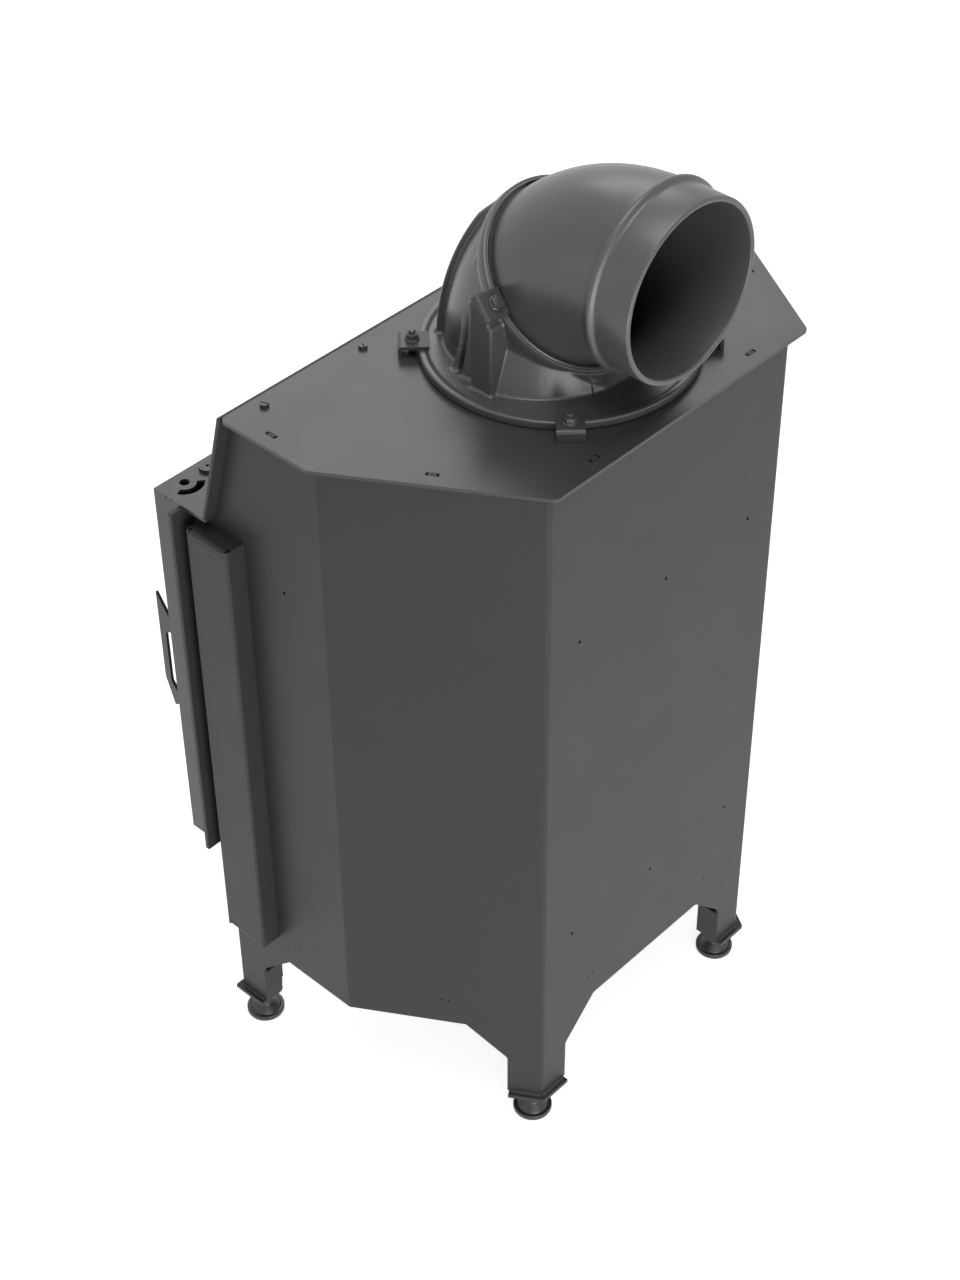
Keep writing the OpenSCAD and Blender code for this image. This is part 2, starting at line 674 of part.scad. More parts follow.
// Liner behind the hood, hung from the top plate by the five screws
liner_gap = 6;
module hood_liner() {
  w = body_w - 2 * sheet_t - 2 * wall_gap;
  y0 = y_hood + liner_gap;
  color("#2f3032") placed() difference() {
    union() {
      box([-w / 2, y0, top_under - stand_t], [w / 2, y0 + 2 * screw_in, top_under]);
      side_on(-w / 2, w) polygon([[y0, top_under], [y0 + stand_t, top_under - stand_t],
        [y_shelf + liner_gap + stand_t, shelf_top - stand_t], [y_shelf + liner_gap, shelf_top - stand_t]]);
    }
    for (k = screw_turns) translate([k * screw_pitch, y_hood + screw_in, top_under - stand_t - overrun])
      cylinder(h = stand_t + 2 * overrun, d = m6 + clear);
  }
}
screw_head_d = 10;
screw_head_h = 4;
slot_w = 1.6;
slot_turn = 20;
module top_screws() {
  color("#55575a") placed() for (k = screw_turns) translate([k * screw_pitch, y_hood + screw_in, top_h]) {
    difference() {
      cylinder(h = screw_head_h, d = screw_head_d);
      rotate(k * swivel + slot_turn) box([-screw_head_d, -slot_w / 2, screw_head_h / 2],
        [screw_head_d, slot_w / 2, screw_head_h + overrun]);
    }
    translate([0, 0, -top_t - stand_t - m6]) cylinder(h = top_t + stand_t + m6, d = m6);
    translate([0, 0, -top_t - stand_t - m6]) cylinder(h = m6 - seat, d = screw_head_d, $fn = 6);
  }
}

// Door
door_chamfer = 5;
lug_h = 40;
// Frame round the window from y0 to y1, its edges set out from the rope's middle line
module frame_ring(out, inn, y0, y1) {
  difference() {
    box([-rope_x - out, y0, door_mid - rope_z - out], [rope_x + out, y1, door_mid + rope_z + out]);
    box([-rope_x - inn, y0 - overrun, door_mid - rope_z - inn],
        [rope_x + inn, y1 + overrun, door_mid + rope_z + inn]);
  }
}
notch_h = 34;
handle_drop = 20;
lug_t = 10;
handle_z = door_mid - handle_drop;
module door_panel() {
  y1 = y_door + door_t;
  y2 = y_face - rope_d / 2 - clear;
  color("#2e2f31") placed() difference() {
    union() {
      difference() {
        translate([0, 0, door_low]) linear_extrude(door_top - door_low) polygon([[-door_w / 2, y1],
          [-door_w / 2, y_door + door_chamfer], [-door_w / 2 + door_chamfer, y_door],
          [door_w / 2 - door_chamfer, y_door], [door_w / 2, y_door + door_chamfer], [door_w / 2, y1]]);
        box([-glass_w / 2, y_door - overrun, door_mid - glass_h / 2],
            [glass_w / 2, y1 + overrun, door_mid + glass_h / 2]);
      }
      frame_ring(-groove, -groove - rail_t, y1, y2);
      frame_ring(groove + rail_t, groove, y1, y2);
      frame_ring(groove, -groove, y1, y_face - rope_d - 2 * clear);
      for (z = [door_low, door_top - lug_h])
        box([-hinge_x - lug_w / 2, y1, z],
            [-hinge_x + lug_w / 2 - clear, hinge_y + lug_w / 2, z + lug_h]);
      for (z = [handle_z - grip_h / 2 - lug_t, handle_z + grip_h / 2])
        box([pivot_x - pivot_d, y_door - pivot_out - pivot_d, z], [pivot_x + pivot_d, y_door, z + lug_t]);
      translate([-hinge_x, hinge_y, door_top - stop_t]) rotate(180 - rest_turn) {
        box([0, -stop_d, 0], [stop_r, stop_d, stop_t]);
        translate([stop_r, 0, 0]) cylinder(h = stop_t, d = stop_w - stop_play);
      }
    }
    for (z = [door_low, door_top - lug_h])
      translate([-hinge_x, hinge_y, z - overrun]) cylinder(h = lug_h + 2 * overrun, d = hinge_d);
    translate([pivot_x, y_door - pivot_out, door_low])
      cylinder(h = door_top - door_low, d = pivot_d + 2 * clear);
    box([pivot_x - lug_t, y_door - overrun, door_mid - notch_h / 2],
        [door_w, y1 + overrun, door_mid + notch_h / 2]);
    translate([-hinge_x, hinge_y, door_top - stop_t - overrun]) rotate(180 - rest_turn)
      translate([stop_r, 0, 0]) cylinder(h = 2 * stop_t, d = stop_d);
  }
}
stop_play = 1;
stop_d = 5;
stop_t = 4;
module door_glass() {
  color([0.75, 0.72, 0.65, 0.35]) placed() pane(y_door + door_t + gasket_t, glass_t, glass_lap - 2 * seat);
}
// Slab t thick behind y, past the window's edges by lap all round
module pane(y, t, lap) {
  box([-glass_w / 2 - lap, y, door_mid - glass_h / 2 - lap],
      [glass_w / 2 + lap, y + t, door_mid + glass_h / 2 + lap]);
}
gasket_t = 2;
module glass_gasket() {
  color("#4b4a47") placed() difference() {
    pane(y_door + door_t, gasket_t, glass_lap - 2 * seat);
    pane(y_door + door_t - overrun, gasket_t + 2 * overrun, 0);
  }
}

clip_w = 30;
clip_t = 3;
clip_lap = 12;
clip_z_share = 0.33;
clip_x = rope_x - groove - rail_t;
module clips() {
  y = y_door + door_t + gasket_t + glass_t + seat;
  both_sides() for (s = [-1, 1]) translate([0, y, door_mid + s * glass_h * clip_z_share]) children();
}
module glass_clips() {
  color("#6d6f72") placed() clips() difference() {
    union() {
      box([clip_x - clip_lap, 0, -clip_w / 2], [clip_x, clip_t, clip_w / 2]);
      box([clip_x - clip_t, clip_t, -clip_w / 2], [clip_x, clip_lap, clip_w / 2]);
    }
    translate([0, (clip_lap + clip_t) / 2, 0]) rotate([0, 90, 0]) cylinder(h = door_w, d = clip_screw_d);
  }
}
clip_screw_d = 4;
module clip_screws() {
  at = [clip_x - clip_t, (clip_lap + clip_t) / 2, 0];
  color("#8f9194") placed() clips() translate(at) rotate([0, 90, 0]) {
    cylinder(h = clip_t, d = clip_screw_d - seat);
    translate([0, 0, -clip_t]) cylinder(h = clip_t, d = 2 * clip_screw_d);
  }
}
module door_rope() {
  y = y_face - rope_d / 2 - clear;
  color("#55524d") placed() translate([0, y, door_mid]) {
    both_sides() translate([rope_x, 0, -rope_z]) cylinder(h = 2 * rope_z, d = rope_d);
    for (z = [-rope_z, rope_z]) {
      translate([-rope_x, 0, z]) rotate([0, 90, 0]) cylinder(h = 2 * rope_x, d = rope_d);
      both_sides() translate([rope_x, 0, z]) sphere(d = rope_d);
    }
  }
}
collar_w = 20;
pin_play = 0.06;
module hinge_pins() {
  d = hinge_d - 2 * pin_play;
  color("#77797c") placed() translate([-hinge_x, hinge_y, 0]) {
    translate([0, 0, door_top - lug_h + sheet_t])
      cylinder(h = shelf_top - door_top + lug_h - sheet_t, d = d);
    translate([0, 0, face_low]) cylinder(h = lug_h, d = d);
    translate([0, 0, face_low + frame_t + seat]) cylinder(h = door_gap - 2 * seat, d = collar_w);
  }
}
module stop_pin() {
  color("#77797c") placed() translate([-hinge_x, hinge_y, door_top - stop_t]) rotate(180 - rest_turn)
    translate([stop_r, 0, 0]) cylinder(h = shelf_top - door_top + stop_t, d = stop_d - seat);
}

// Handle: a bow cut from plate, with a hub at each arm that turns on the latch shaft
tip_rise = 33;
arm_h = 17;
grip_lean = 13;
plate_off = 3.7;
plate_x = pivot_x + plate_off;
module door_handle() {
  h = grip_h / 2;
  out = grip_out;
  inn = grip_out - grip_t;
  arm = pivot_out + pivot_d;
  root = pivot_out - pivot_d + clear;
  color("#2c2d2f") placed() difference() {
    union() {
      side_on(plate_x, grip_w) translate([y_door, handle_z]) polygon(concat(
        [[-out, h + tip_rise]],
        bent([-out, h], [-out, -h / 2], [-arm - grip_t, -h], 2 * grip_t, 5),
        [[-arm - grip_t + 2 * clear, -h - grip_t / 2], [-arm - 2 * clear, -h], [-root, -h + clear],
         [-root, -h + arm_h], [-arm, -h + arm_h]],
        bent([-arm, -h + arm_h], [-inn, -h + arm_h + grip_lean], [-inn, h], grip_t, 4),
        bent([-inn, -h], [-inn, h - arm_h - grip_lean / 2], [-arm, h - arm_h], grip_t / 2, 3),
        [[-arm, h - arm_h], [-root, h - arm_h], [-root, h - clear], [-arm, h - clear]]));
      for (z = [-h + clear, h - arm_h]) translate([pivot_x, y_door - pivot_out, handle_z + z])
        cylinder(h = arm_h - clear, d = 2 * pivot_d);
    }
    translate([pivot_x, y_door - pivot_out, handle_z - h]) cylinder(h = grip_h, d = pivot_d);
  }
}
spring_d = 18;
spring_t = 3;
spring_places = [-17, -4];
module latch_shaft() {
  color("#77797c") placed() translate([pivot_x, y_door - pivot_out, handle_z - grip_h / 2 - lug_t - seat]) {
    cylinder(h = grip_h + 2 * (lug_t + seat), d = pivot_d - seat / 2);
    for (z = [-sheet_t / 2, grip_h + 2 * (lug_t + seat)])
      translate([0, 0, z]) cylinder(h = sheet_t / 2, d = pivot_d + sheet_t);
    for (z = spring_places)
      translate([0, 0, grip_h / 2 + lug_t + seat + z]) cylinder(h = spring_t, d = spring_d);
  }
}
claw_h = 18;
claw_l = 34;
claw_w = 8;
hook_l = 4;
hook_d = 6.5;
module latch_claw() {
  color("#77797c") placed() translate([pivot_x, y_door - pivot_out, door_mid - claw_h / 2]) difference() {
    union() {
      cylinder(h = claw_h, d = 2 * claw_w);
      box([-claw_w / 2, 0, 0], [claw_w / 2, claw_l, claw_h]);
      box([0, claw_l - hook_d, 0], [claw_w / 2 + hook_l, claw_l, claw_h]);
    }
    translate([0, 0, -overrun]) cylinder(h = claw_h + 2 * overrun, d = pivot_d);
  }
}
keeper_off = 14.5;
keeper_t = 5;
module latch_keeper() {
  color("#5a5c5f") placed()
    box([pivot_x + keeper_off, y_frame, door_mid - claw_h / 2],
        [frame_w / 2 - frame_t, y_frame + keeper_t, door_mid + claw_h / 2]);
}

// Places its children at the middle of the swivel ring, with +Z square to the ring
module at_ring(lift = 0) {
  translate([0, ring_y, ring_z]) rotate([-swivel, 0, 0]) translate([0, 0, lift]) children();
}
// Round bend of radius r about the elbow's bend centre, from turn a to turn b above the horizontal
module bend_piece(r, a, b) {
  translate([0, elbow_back, elbow_z]) rotate([90, 0, 90]) rotate(180 - b)
    rotate_extrude(angle = b - a) translate([elbow_r, 0]) circle(r = r);
}
recess = 6;
recess_gap = 4;
recess_r = ring_r - recess_gap;
bore_r = tube_r - cast_t;
dome_in = 1.5;
dome_r = ring_r - dome_in;
ring_t = recess + flange_t;
skirt_r = 128;
skirt_in = 8;
skirt_h = 80;
skirt_top = 103;
seal_r = 138;
seal_w = 12;
seal_t = 3;
rib_t = 7;
rib_low_r = 118;
rib_top_r = 86;
rib_h = 131;
rib_turn = -10;
heel_rib_turn = -48;
heel_rib_out = 6;
stay_out = 126;
stay_w = 29;
stay_y = 16;
over_turn = 2;
module flue_turret() {
  color("#46474a") placed() difference() {
    union() {
      difference() {
        union() {
          bend_piece(dome_r, -over_turn, swivel);
          skirt(skirt_r, skirt_h, -rim_w);
          skirt(skirt_r - skirt_in, skirt_h - skirt_in, foot_y - rim_w);
          both_sides() {
            translate([0, foot_y, top_h]) rotate(rib_turn) front_on(-rib_t / 2, rib_t)
              polygon([[bore_r, 0], [rib_low_r, 0], [rib_top_r, rib_h], [skirt_in, 0]]);
            intersection() {
              bend_piece(ring_r + heel_rib_out, -over_turn, swivel);
              translate([0, foot_y, top_h]) rotate(heel_rib_turn)
                box([bore_r / 2, -rib_t / 2, 0], [2 * ring_r, rib_t / 2, 2 * ring_r]);
            }
            box([bore_r + rim_t, stay_y - stay_w, top_h], [stay_out, stay_y, ring_z + stay_w]);
          }
        }
        at_ring(-ring_t / 2) cylinder(h = 4 * ring_r, r = 4 * ring_r);
        box([-2 * ring_r, -2 * ring_r, -overrun], [2 * ring_r, 2 * ring_r, top_h]);
      }
      at_ring(-ring_t) cylinder(h = ring_t, r = ring_r);
      ring_spots() box([bore_r + rim_t, -clamp_w / 2, -ring_t],
        [clamp_far - clamp_t - clear, clamp_w / 2, 0]);
      translate([0, 0, top_h]) {
        cylinder(h = flange_t - rim_t, r = flange_r);
        difference() {
          cylinder(h = flange_t, r = flange_r);
          translate([0, 0, -overrun]) cylinder(h = flange_t + 2 * overrun, r = flange_r - rim_w);
        }
      }
    }
    bend_piece(bore_r, -over_turn, swivel + over_turn);
    translate([0, 0, top_h - overrun])
      seal_ring(seal_r + clear, seal_r - seal_w - clear, seal_t + overrun + clear);
    at_ring(-recess) cylinder(h = recess + overrun, r = recess_r);
    ring_spots() translate([clamp_r, 0, -ring_t - overrun]) cylinder(h = ring_t + 2 * overrun, d = clamp_m);
  }
}
rim_w = 8;
rim_t = 3;
clamp_turn = -7;
clamp_w = 30;
clamp_m = 8;
clamp_r = 112;
clamp_near = 100.4;
clamp_far = 131;
clamp_drop = 5;
module skirt(r, h, y_cut) {
  difference() {
    translate([0, foot_y, top_h]) cylinder(h = h, r1 = r, r2 = skirt_top);
    box([-2 * skirt_r, -2 * skirt_r, top_h - overrun], [2 * skirt_r, y_cut, top_h + 2 * h]);
  }
}
lip_turn = 2.2;
bead_w = 10;
bead_h = 5.5;
bead_in = 2;
lip_play = 1;
lip_r = recess_r - lip_play;
module flue_elbow() {
  color("#4a4b4e") placed() difference() {
    union() {
      difference() {
        bend_piece(tube_r, swivel - lip_turn, 90);
        at_ring(clear - tube_r) cylinder(h = tube_r - recess, r = 2 * tube_r);
      }
      at_ring(-recess + clear) cylinder(h = recess - 3 * clear, r = lip_r);
      translate([0, elbow_back, collar_z]) rotate([-90, 0, 0]) {
        cylinder(h = collar_l, d = collar_d);
        translate([0, 0, bead_in]) cylinder(h = bead_w, r = collar_d / 2 + bead_h);
      }
    }
    bend_piece(bore_r, swivel - 2 * lip_turn, 90 + over_turn);
    translate([0, elbow_back - overrun, collar_z]) rotate([-90, 0, 0])
      cylinder(h = collar_l + 2 * overrun, r = bore_r + dome_in);
  }
}
module seal_ring(r_out, r_in, h) {
  difference() {
    cylinder(h = h, r = r_out);
    translate([0, 0, -overrun]) cylinder(h = h + 2 * overrun, r = r_in);
  }
}
module turret_seal() {
  color("#55524d") placed() translate([0, 0, top_h]) seal_ring(seal_r, seal_r - seal_w, seal_t);
}
stud_r = 157;
stud_m = 8;
stud_h = 26;
clip_l = 33;
module flange_spots() {
  for (a = [45:90:315]) rotate(a) translate([0, 0, top_h]) children();
}
module flange_clamps() {
  x0 = stud_r - clip_l / 2 - clip_t / 2;
  color("#48494c") placed() flange_spots() difference() {
    union() {
      box([x0, -clamp_w / 2, flange_t], [x0 + clip_l, clamp_w / 2, flange_t + sheet_t]);
      box([x0 + clip_l - sheet_t, -clamp_w / 2, 0], [x0 + clip_l, clamp_w / 2, flange_t]);
    }
    translate([stud_r, 0, 0]) cylinder(h = 2 * flange_t, d = stud_m + 2 * clear);
  }
}
module flange_studs() {
  color("#55575a") placed() flange_spots() translate([stud_r, 0, -top_t])
    cylinder(h = top_t + stud_h, d = stud_m - seat);
}
washer_t = 1.6;
m8_af = 13;
m8_nut_h = 6.5;
module flange_nuts() {
  color("#55575a") placed() flange_spots() translate([stud_r, 0, flange_t + sheet_t]) {
    difference() {
      cylinder(h = washer_t, d = 2 * stud_m);
      translate([0, 0, -overrun]) cylinder(h = washer_t + 2 * overrun, d = stud_m);
    }
    translate([0, 0, washer_t]) nut(m8_af, m8_nut_h, stud_m);
  }
}
module ring_spots() {
  both_sides() at_ring() rotate(clamp_turn) children();
}
clamp_t = 4;
module swivel_clamps() {
  color("#48494c") placed() ring_spots() difference() {
    union() {
      box([clamp_near, -clamp_w / 2, 0], [clamp_far, clamp_w / 2, clamp_t]);
      box([clamp_far - clamp_t, -clamp_w / 2, -clamp_drop], [clamp_far, clamp_w / 2, clamp_t]);
    }
    translate([clamp_r, 0, -overrun]) cylinder(h = clamp_t + 2 * overrun, d = clamp_m + 2 * clear);
  }
}
module swivel_bolts() {
  color("#55575a") placed() ring_spots() translate([clamp_r, 0, 0]) {
    translate([0, 0, -recess - flange_t]) cylinder(h = recess + flange_t + clamp_t, d = clamp_m - seat);
    translate([0, 0, clamp_t]) cylinder(h = washer_t, d = 2 * clamp_m);
    translate([0, 0, clamp_t + washer_t]) cylinder(h = m8_nut_h - overrun, d = m8_af / cos(30), $fn = 6);
  }
}

body_shell();
top_plate();
hood_plate();
face_plate();
door_frame();
lower_front_panel();
floor_plate();
side_duct_left();
side_duct_right();
leg_base_front_left();
leg_base_front_right();
leg_base_rear_left();
leg_base_rear_right();
foot_front_left();
foot_front_right();
foot_rear_left();
foot_rear_right();
leg_nuts();
hearth_stand();
hearth_slab();
grate();
ash_pan();
brick_back();
brick_angle_left();
brick_angle_right();
brick_side_left();
brick_side_right();
baffle_plate();
baffle_ledges();
log_guard();
hood_liner();
top_screws();
air_slider();
air_knob();
slider_guides();
door_panel();
door_glass();
glass_gasket();
glass_clips();
clip_screws();
door_rope();
hinge_pins();
stop_pin();
door_handle();
latch_shaft();
latch_claw();
latch_keeper();
flue_turret();
turret_seal();
flange_clamps();
flange_studs();
flange_nuts();
flue_elbow();
swivel_clamps();
swivel_bolts();
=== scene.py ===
"""Looks of a steel fireplace insert with a cast swivel flue elbow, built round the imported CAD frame."""

import json
import math

import bpy
from mathutils import Matrix, Vector


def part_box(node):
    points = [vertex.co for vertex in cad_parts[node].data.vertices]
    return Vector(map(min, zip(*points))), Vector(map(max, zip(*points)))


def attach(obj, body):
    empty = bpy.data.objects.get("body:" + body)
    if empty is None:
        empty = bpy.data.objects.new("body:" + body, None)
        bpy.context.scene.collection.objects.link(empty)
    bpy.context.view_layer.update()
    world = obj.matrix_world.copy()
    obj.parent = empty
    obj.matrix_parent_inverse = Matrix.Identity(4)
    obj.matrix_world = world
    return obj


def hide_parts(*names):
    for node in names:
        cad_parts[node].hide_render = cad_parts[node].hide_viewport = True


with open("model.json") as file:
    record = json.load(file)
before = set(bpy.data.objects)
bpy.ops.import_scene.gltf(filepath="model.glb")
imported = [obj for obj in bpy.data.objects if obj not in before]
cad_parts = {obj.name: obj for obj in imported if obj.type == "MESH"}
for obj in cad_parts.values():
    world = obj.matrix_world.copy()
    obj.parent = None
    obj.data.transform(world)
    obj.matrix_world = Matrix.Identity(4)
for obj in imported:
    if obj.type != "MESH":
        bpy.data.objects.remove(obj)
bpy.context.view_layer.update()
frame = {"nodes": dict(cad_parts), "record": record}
nodes = frame["nodes"]
behaviour = frame["record"]["behaviour"]
body_of_node = {node: body for body, members in behaviour["bodies"].items() for node in members}
slot_of_node = {part["node"]: part["material_slot"] for part in frame["record"]["subparts"]}
joint_place = {joint["name"]: Vector(joint["pos_m"]) for joint in behaviour["joints"] if "pos_m" in joint}

# Sizes are in millimetres where no other unit is named
MM = 0.001
UP = Vector((0, 0, 1))
MIRRORED = Matrix.Scale(-1, 4, (1, 0, 0))
# How far a point may be off a plane and still count as on it
NEAR = 0.01
# Radius at which an outline starts or ends at its axis
POLE = 0.01

# Camera, fitted to the photograph's straight edges and circles; place and nearest distance in metres
VIEW_FROM = Vector((1.6293, 1.4921, 2.4563))
VIEW_TURN = math.radians(46.752)
VIEW_RISE = math.radians(41.023)
VIEW_ROLL = math.radians(-0.519)
VIEW_LENS = 68.61
SENSOR = 36
NEAREST = 0.01


def add_camera():
    back = Vector((math.sin(VIEW_TURN) * math.cos(VIEW_RISE), math.cos(VIEW_TURN) * math.cos(VIEW_RISE),
                   math.sin(VIEW_RISE)))
    side = (-back).cross(UP).normalized()
    top = side.cross(-back)
    right = side * math.cos(VIEW_ROLL) + top * math.sin(VIEW_ROLL)
    upright = top * math.cos(VIEW_ROLL) - side * math.sin(VIEW_ROLL)
    lens = bpy.data.cameras.new("photo_camera")
    lens.lens = VIEW_LENS
    lens.sensor_width = SENSOR
    lens.clip_start = NEAREST
    camera = bpy.data.objects.new("photo_camera", lens)
    bpy.context.scene.collection.objects.link(camera)
    turn = Matrix((right, upright, back)).transposed()
    camera.matrix_world = Matrix.Translation(VIEW_FROM) @ turn.to_4x4()
    bpy.context.scene.camera = camera


# Materials

# Sizes of the paint's slow patterns, as scales of their noise
DRIFT_SCALE = 5.0
SHEEN_SCALE = 16.0
# Depth of the paint's grain and of the rope's braid
GRAIN_RELIEF = 0.2
BRAID_RELIEF = 1.2
BRAID_SCALE = 60.0
BRAID_WANDER = 1.5
HAZE_SCALE = 9.0
SMOKED_GLASS = (0.62, 0.56, 0.48, 1)
FIREBRICK = (0.50, 0.39, 0.25)
# How a screen value is turned into light, and the brightest screen value
SCREEN_GAMMA = 2.2
SCREEN_WHITE = 255


def set_or_link(tree, value, socket):
    """Give a socket a plain number, or the output of another node."""
    if isinstance(value, (int, float)):
        socket.default_value = value
    else:
        tree.links.new(value, socket)


def new_group(name, numbers, outputs):
    group = bpy.data.node_groups.new(name, "ShaderNodeTree")
    group.interface.new_socket("Colour", in_out="INPUT", socket_type="NodeSocketColor")
    for socket_name, value in numbers.items():
        socket = group.interface.new_socket(socket_name, in_out="INPUT", socket_type="NodeSocketFloat")
        socket.default_value = value
    for socket_name, kind in outputs.items():
        group.interface.new_socket(socket_name, in_out="OUTPUT", socket_type=kind)
    return group, group.nodes.new("NodeGroupInput"), group.nodes.new("NodeGroupOutput")


def add_noise(tree, vector, scale, detail):
    noise = tree.nodes.new("ShaderNodeTexNoise")
    noise.inputs["Detail"].default_value = detail
    tree.links.new(vector, noise.inputs["Vector"])
    set_or_link(tree, scale, noise.inputs["Scale"])
    return noise.outputs["Fac"]


def add_math(tree, operation, a, b):
    node = tree.nodes.new("ShaderNodeMath")
    node.operation = operation
    set_or_link(tree, a, node.inputs[0])
    set_or_link(tree, b, node.inputs[1])
    return node.outputs[0]


def add_range(tree, value, low, high, from_low=0.3, from_high=0.7):
    """Bring a value smoothly from one range to another; the first one given here suits a noise."""
    node = tree.nodes.new("ShaderNodeMapRange")
    node.interpolation_type = "SMOOTHSTEP"
    node.inputs["From Min"].default_value = from_low
    node.inputs["From Max"].default_value = from_high
    tree.links.new(value, node.inputs["Value"])
    set_or_link(tree, low, node.inputs["To Min"])
    set_or_link(tree, high, node.inputs["To Max"])
    return node.outputs[0]


def spread(tree, value, reach):
    """A factor round 1 that differs from it by up to reach."""
    low = add_math(tree, "SUBTRACT", 1.0, reach)
    high = add_math(tree, "ADD", 1.0, reach)
    return add_range(tree, value, low, high)


def stove_paint_group():
    """Stove paint: slow shade drift, fine speckle, uneven gloss and a sprayed grain."""
    numbers = {"Drift": 0.03, "Speckle": 0.08, "Grain size": 900.0, "Grain depth": 0.4,
               "Rough low": 0.4, "Rough high": 0.55}
    outputs = {"Colour": "NodeSocketColor", "Roughness": "NodeSocketFloat", "Height": "NodeSocketFloat"}
    tree, source, result = new_group("stove_paint_grain", numbers, outputs)
    given = source.outputs
    place = tree.nodes.new("ShaderNodeTexCoord").outputs["Object"]
    drift = add_noise(tree, place, DRIFT_SCALE, detail=3.0)
    speckle = add_noise(tree, place, given["Grain size"], detail=2.0)
    sheen = add_noise(tree, place, SHEEN_SCALE, detail=4.0)
    shade = add_math(tree, "MULTIPLY", spread(tree, drift, given["Drift"]),
                     spread(tree, speckle, given["Speckle"]))
    tint = tree.nodes.new("ShaderNodeVectorMath")
    tint.operation = "SCALE"
    tree.links.new(given["Colour"], tint.inputs[0])
    tree.links.new(shade, tint.inputs["Scale"])
    gloss = add_range(tree, sheen, given["Rough low"], given["Rough high"])
    height = add_math(tree, "MULTIPLY", speckle, given["Grain depth"])
    tree.links.new(tint.outputs[0], result.inputs["Colour"])
    tree.links.new(gloss, result.inputs["Roughness"])
    tree.links.new(height, result.inputs["Height"])
    return tree


PAINT = stove_paint_group()


def coated(name, colour, metallic=0.0, specular=0.5, bump=0.1, **values):
    """Material of one paint or metal finish over the shared grain."""
    material = bpy.data.materials.new(name)
    material.use_nodes = True
    tree = material.node_tree
    shader = tree.nodes["Principled BSDF"]
    shader.inputs["Metallic"].default_value = metallic
    shader.inputs["Specular IOR Level"].default_value = specular
    group = tree.nodes.new("ShaderNodeGroup")
    group.node_tree = PAINT
    group.inputs["Colour"].default_value = (*colour, 1)
    for key, value in values.items():
        group.inputs[key.replace("_", " ").capitalize()].default_value = value
    tree.links.new(group.outputs["Colour"], shader.inputs["Base Color"])
    tree.links.new(group.outputs["Roughness"], shader.inputs["Roughness"])
    relief = tree.nodes.new("ShaderNodeBump")
    relief.inputs["Strength"].default_value = bump
    relief.inputs["Distance"].default_value = GRAIN_RELIEF * MM
    tree.links.new(group.outputs["Height"], relief.inputs["Height"])
    tree.links.new(relief.outputs["Normal"], shader.inputs["Normal"])
    return material


def grey(value, warm=0.0):
    """Linear colour of a grey given as an 8-bit screen value; warm tips it from blue to red."""
    level = (value / SCREEN_WHITE) ** SCREEN_GAMMA
    return (level * (1 + warm), level, level * (1 - warm))


def rope_material():
    """Braided sealing rope: two waves crossed, one slanting."""
    material = coated("braided_rope", grey(96, 0.04), bump=0.3, speckle=0.3, grain_size=700.0,
                      rough_low=0.85, rough_high=0.95, specular=0.1)
    tree = material.node_tree
    relief = tree.nodes["Bump"]
    place = tree.nodes.new("ShaderNodeTexCoord").outputs["Object"]
    waves = []
    for axis in ("DIAGONAL", "Y"):
        wave = tree.nodes.new("ShaderNodeTexWave")
        wave.bands_direction = axis
        wave.inputs["Scale"].default_value = BRAID_SCALE
        wave.inputs["Distortion"].default_value = BRAID_WANDER
        tree.links.new(place, wave.inputs["Vector"])
        waves.append(wave.outputs["Fac"])
    relief.inputs["Distance"].default_value = BRAID_RELIEF * MM
    tree.links.new(add_math(tree, "MULTIPLY", waves[0], waves[1]), relief.inputs["Height"])
    return material


def glass_material():
    """Slightly smoked stove glass, a little hazy in patches."""
    material = bpy.data.materials.new("stove_glass")
    material.use_nodes = True
    tree = material.node_tree
    shader = tree.nodes["Principled BSDF"]
    shader.inputs["Base Color"].default_value = SMOKED_GLASS
    shader.inputs["Transmission Weight"].default_value = 1.0
    shader.inputs["IOR"].default_value = 1.5
    place = tree.nodes.new("ShaderNodeTexCoord").outputs["Object"]
    haze = add_noise(tree, place, HAZE_SCALE, detail=4.0)
    gloss = add_range(tree, haze, 0.01, 0.09, from_low=0.4, from_high=0.8)
    tree.links.new(gloss, shader.inputs["Roughness"])
    return material


FINISHES = {
    "dark_paint": coated("satin_stove_paint", grey(60), specular=0.22, rough_low=0.42, rough_high=0.45),
    "top_paint": coated("satin_stove_paint_top", grey(58), rough_low=0.33, rough_high=0.36),
    "cast_paint": coated("painted_casting", grey(77), bump=0.08, drift=0.04, speckle=0.05, grain_size=340.0,
                         grain_depth=0.8, specular=0.62, rough_low=0.30, rough_high=0.34),
    "clamp_paint": coated("painted_clamp", grey(64), rough_low=0.36, rough_high=0.48),
    "fastener_steel": coated("painted_fastener", grey(72), metallic=0.3, rough_low=0.30, rough_high=0.42),
    "zinc_steel": coated("zinc_plate", grey(170), metallic=0.9, rough_low=0.3, rough_high=0.45),
    "foot_iron": coated("turned_foot", grey(66), metallic=0.2, rough_low=0.3, rough_high=0.42),
    "grate_iron": coated("grate_casting", grey(48), bump=0.5, grain_size=300.0,
                         rough_low=0.55, rough_high=0.7),
    "pan_steel": coated("bare_pan_steel", grey(92), metallic=0.7, rough_low=0.4, rough_high=0.6),
    "firebrick": coated("firebrick_board", FIREBRICK, bump=0.5, drift=0.12, speckle=0.25,
                        grain_size=260.0, grain_depth=1.0, rough_low=0.85, rough_high=0.95, specular=0.2),
    "seal_rope": rope_material(),
    "clear_glass": glass_material(),
    "handle_paint": coated("handle_paint", grey(58), rough_low=0.36, rough_high=0.46),
    "knob_black": coated("black_knob", grey(30), rough_low=0.3, rough_high=0.4),
}


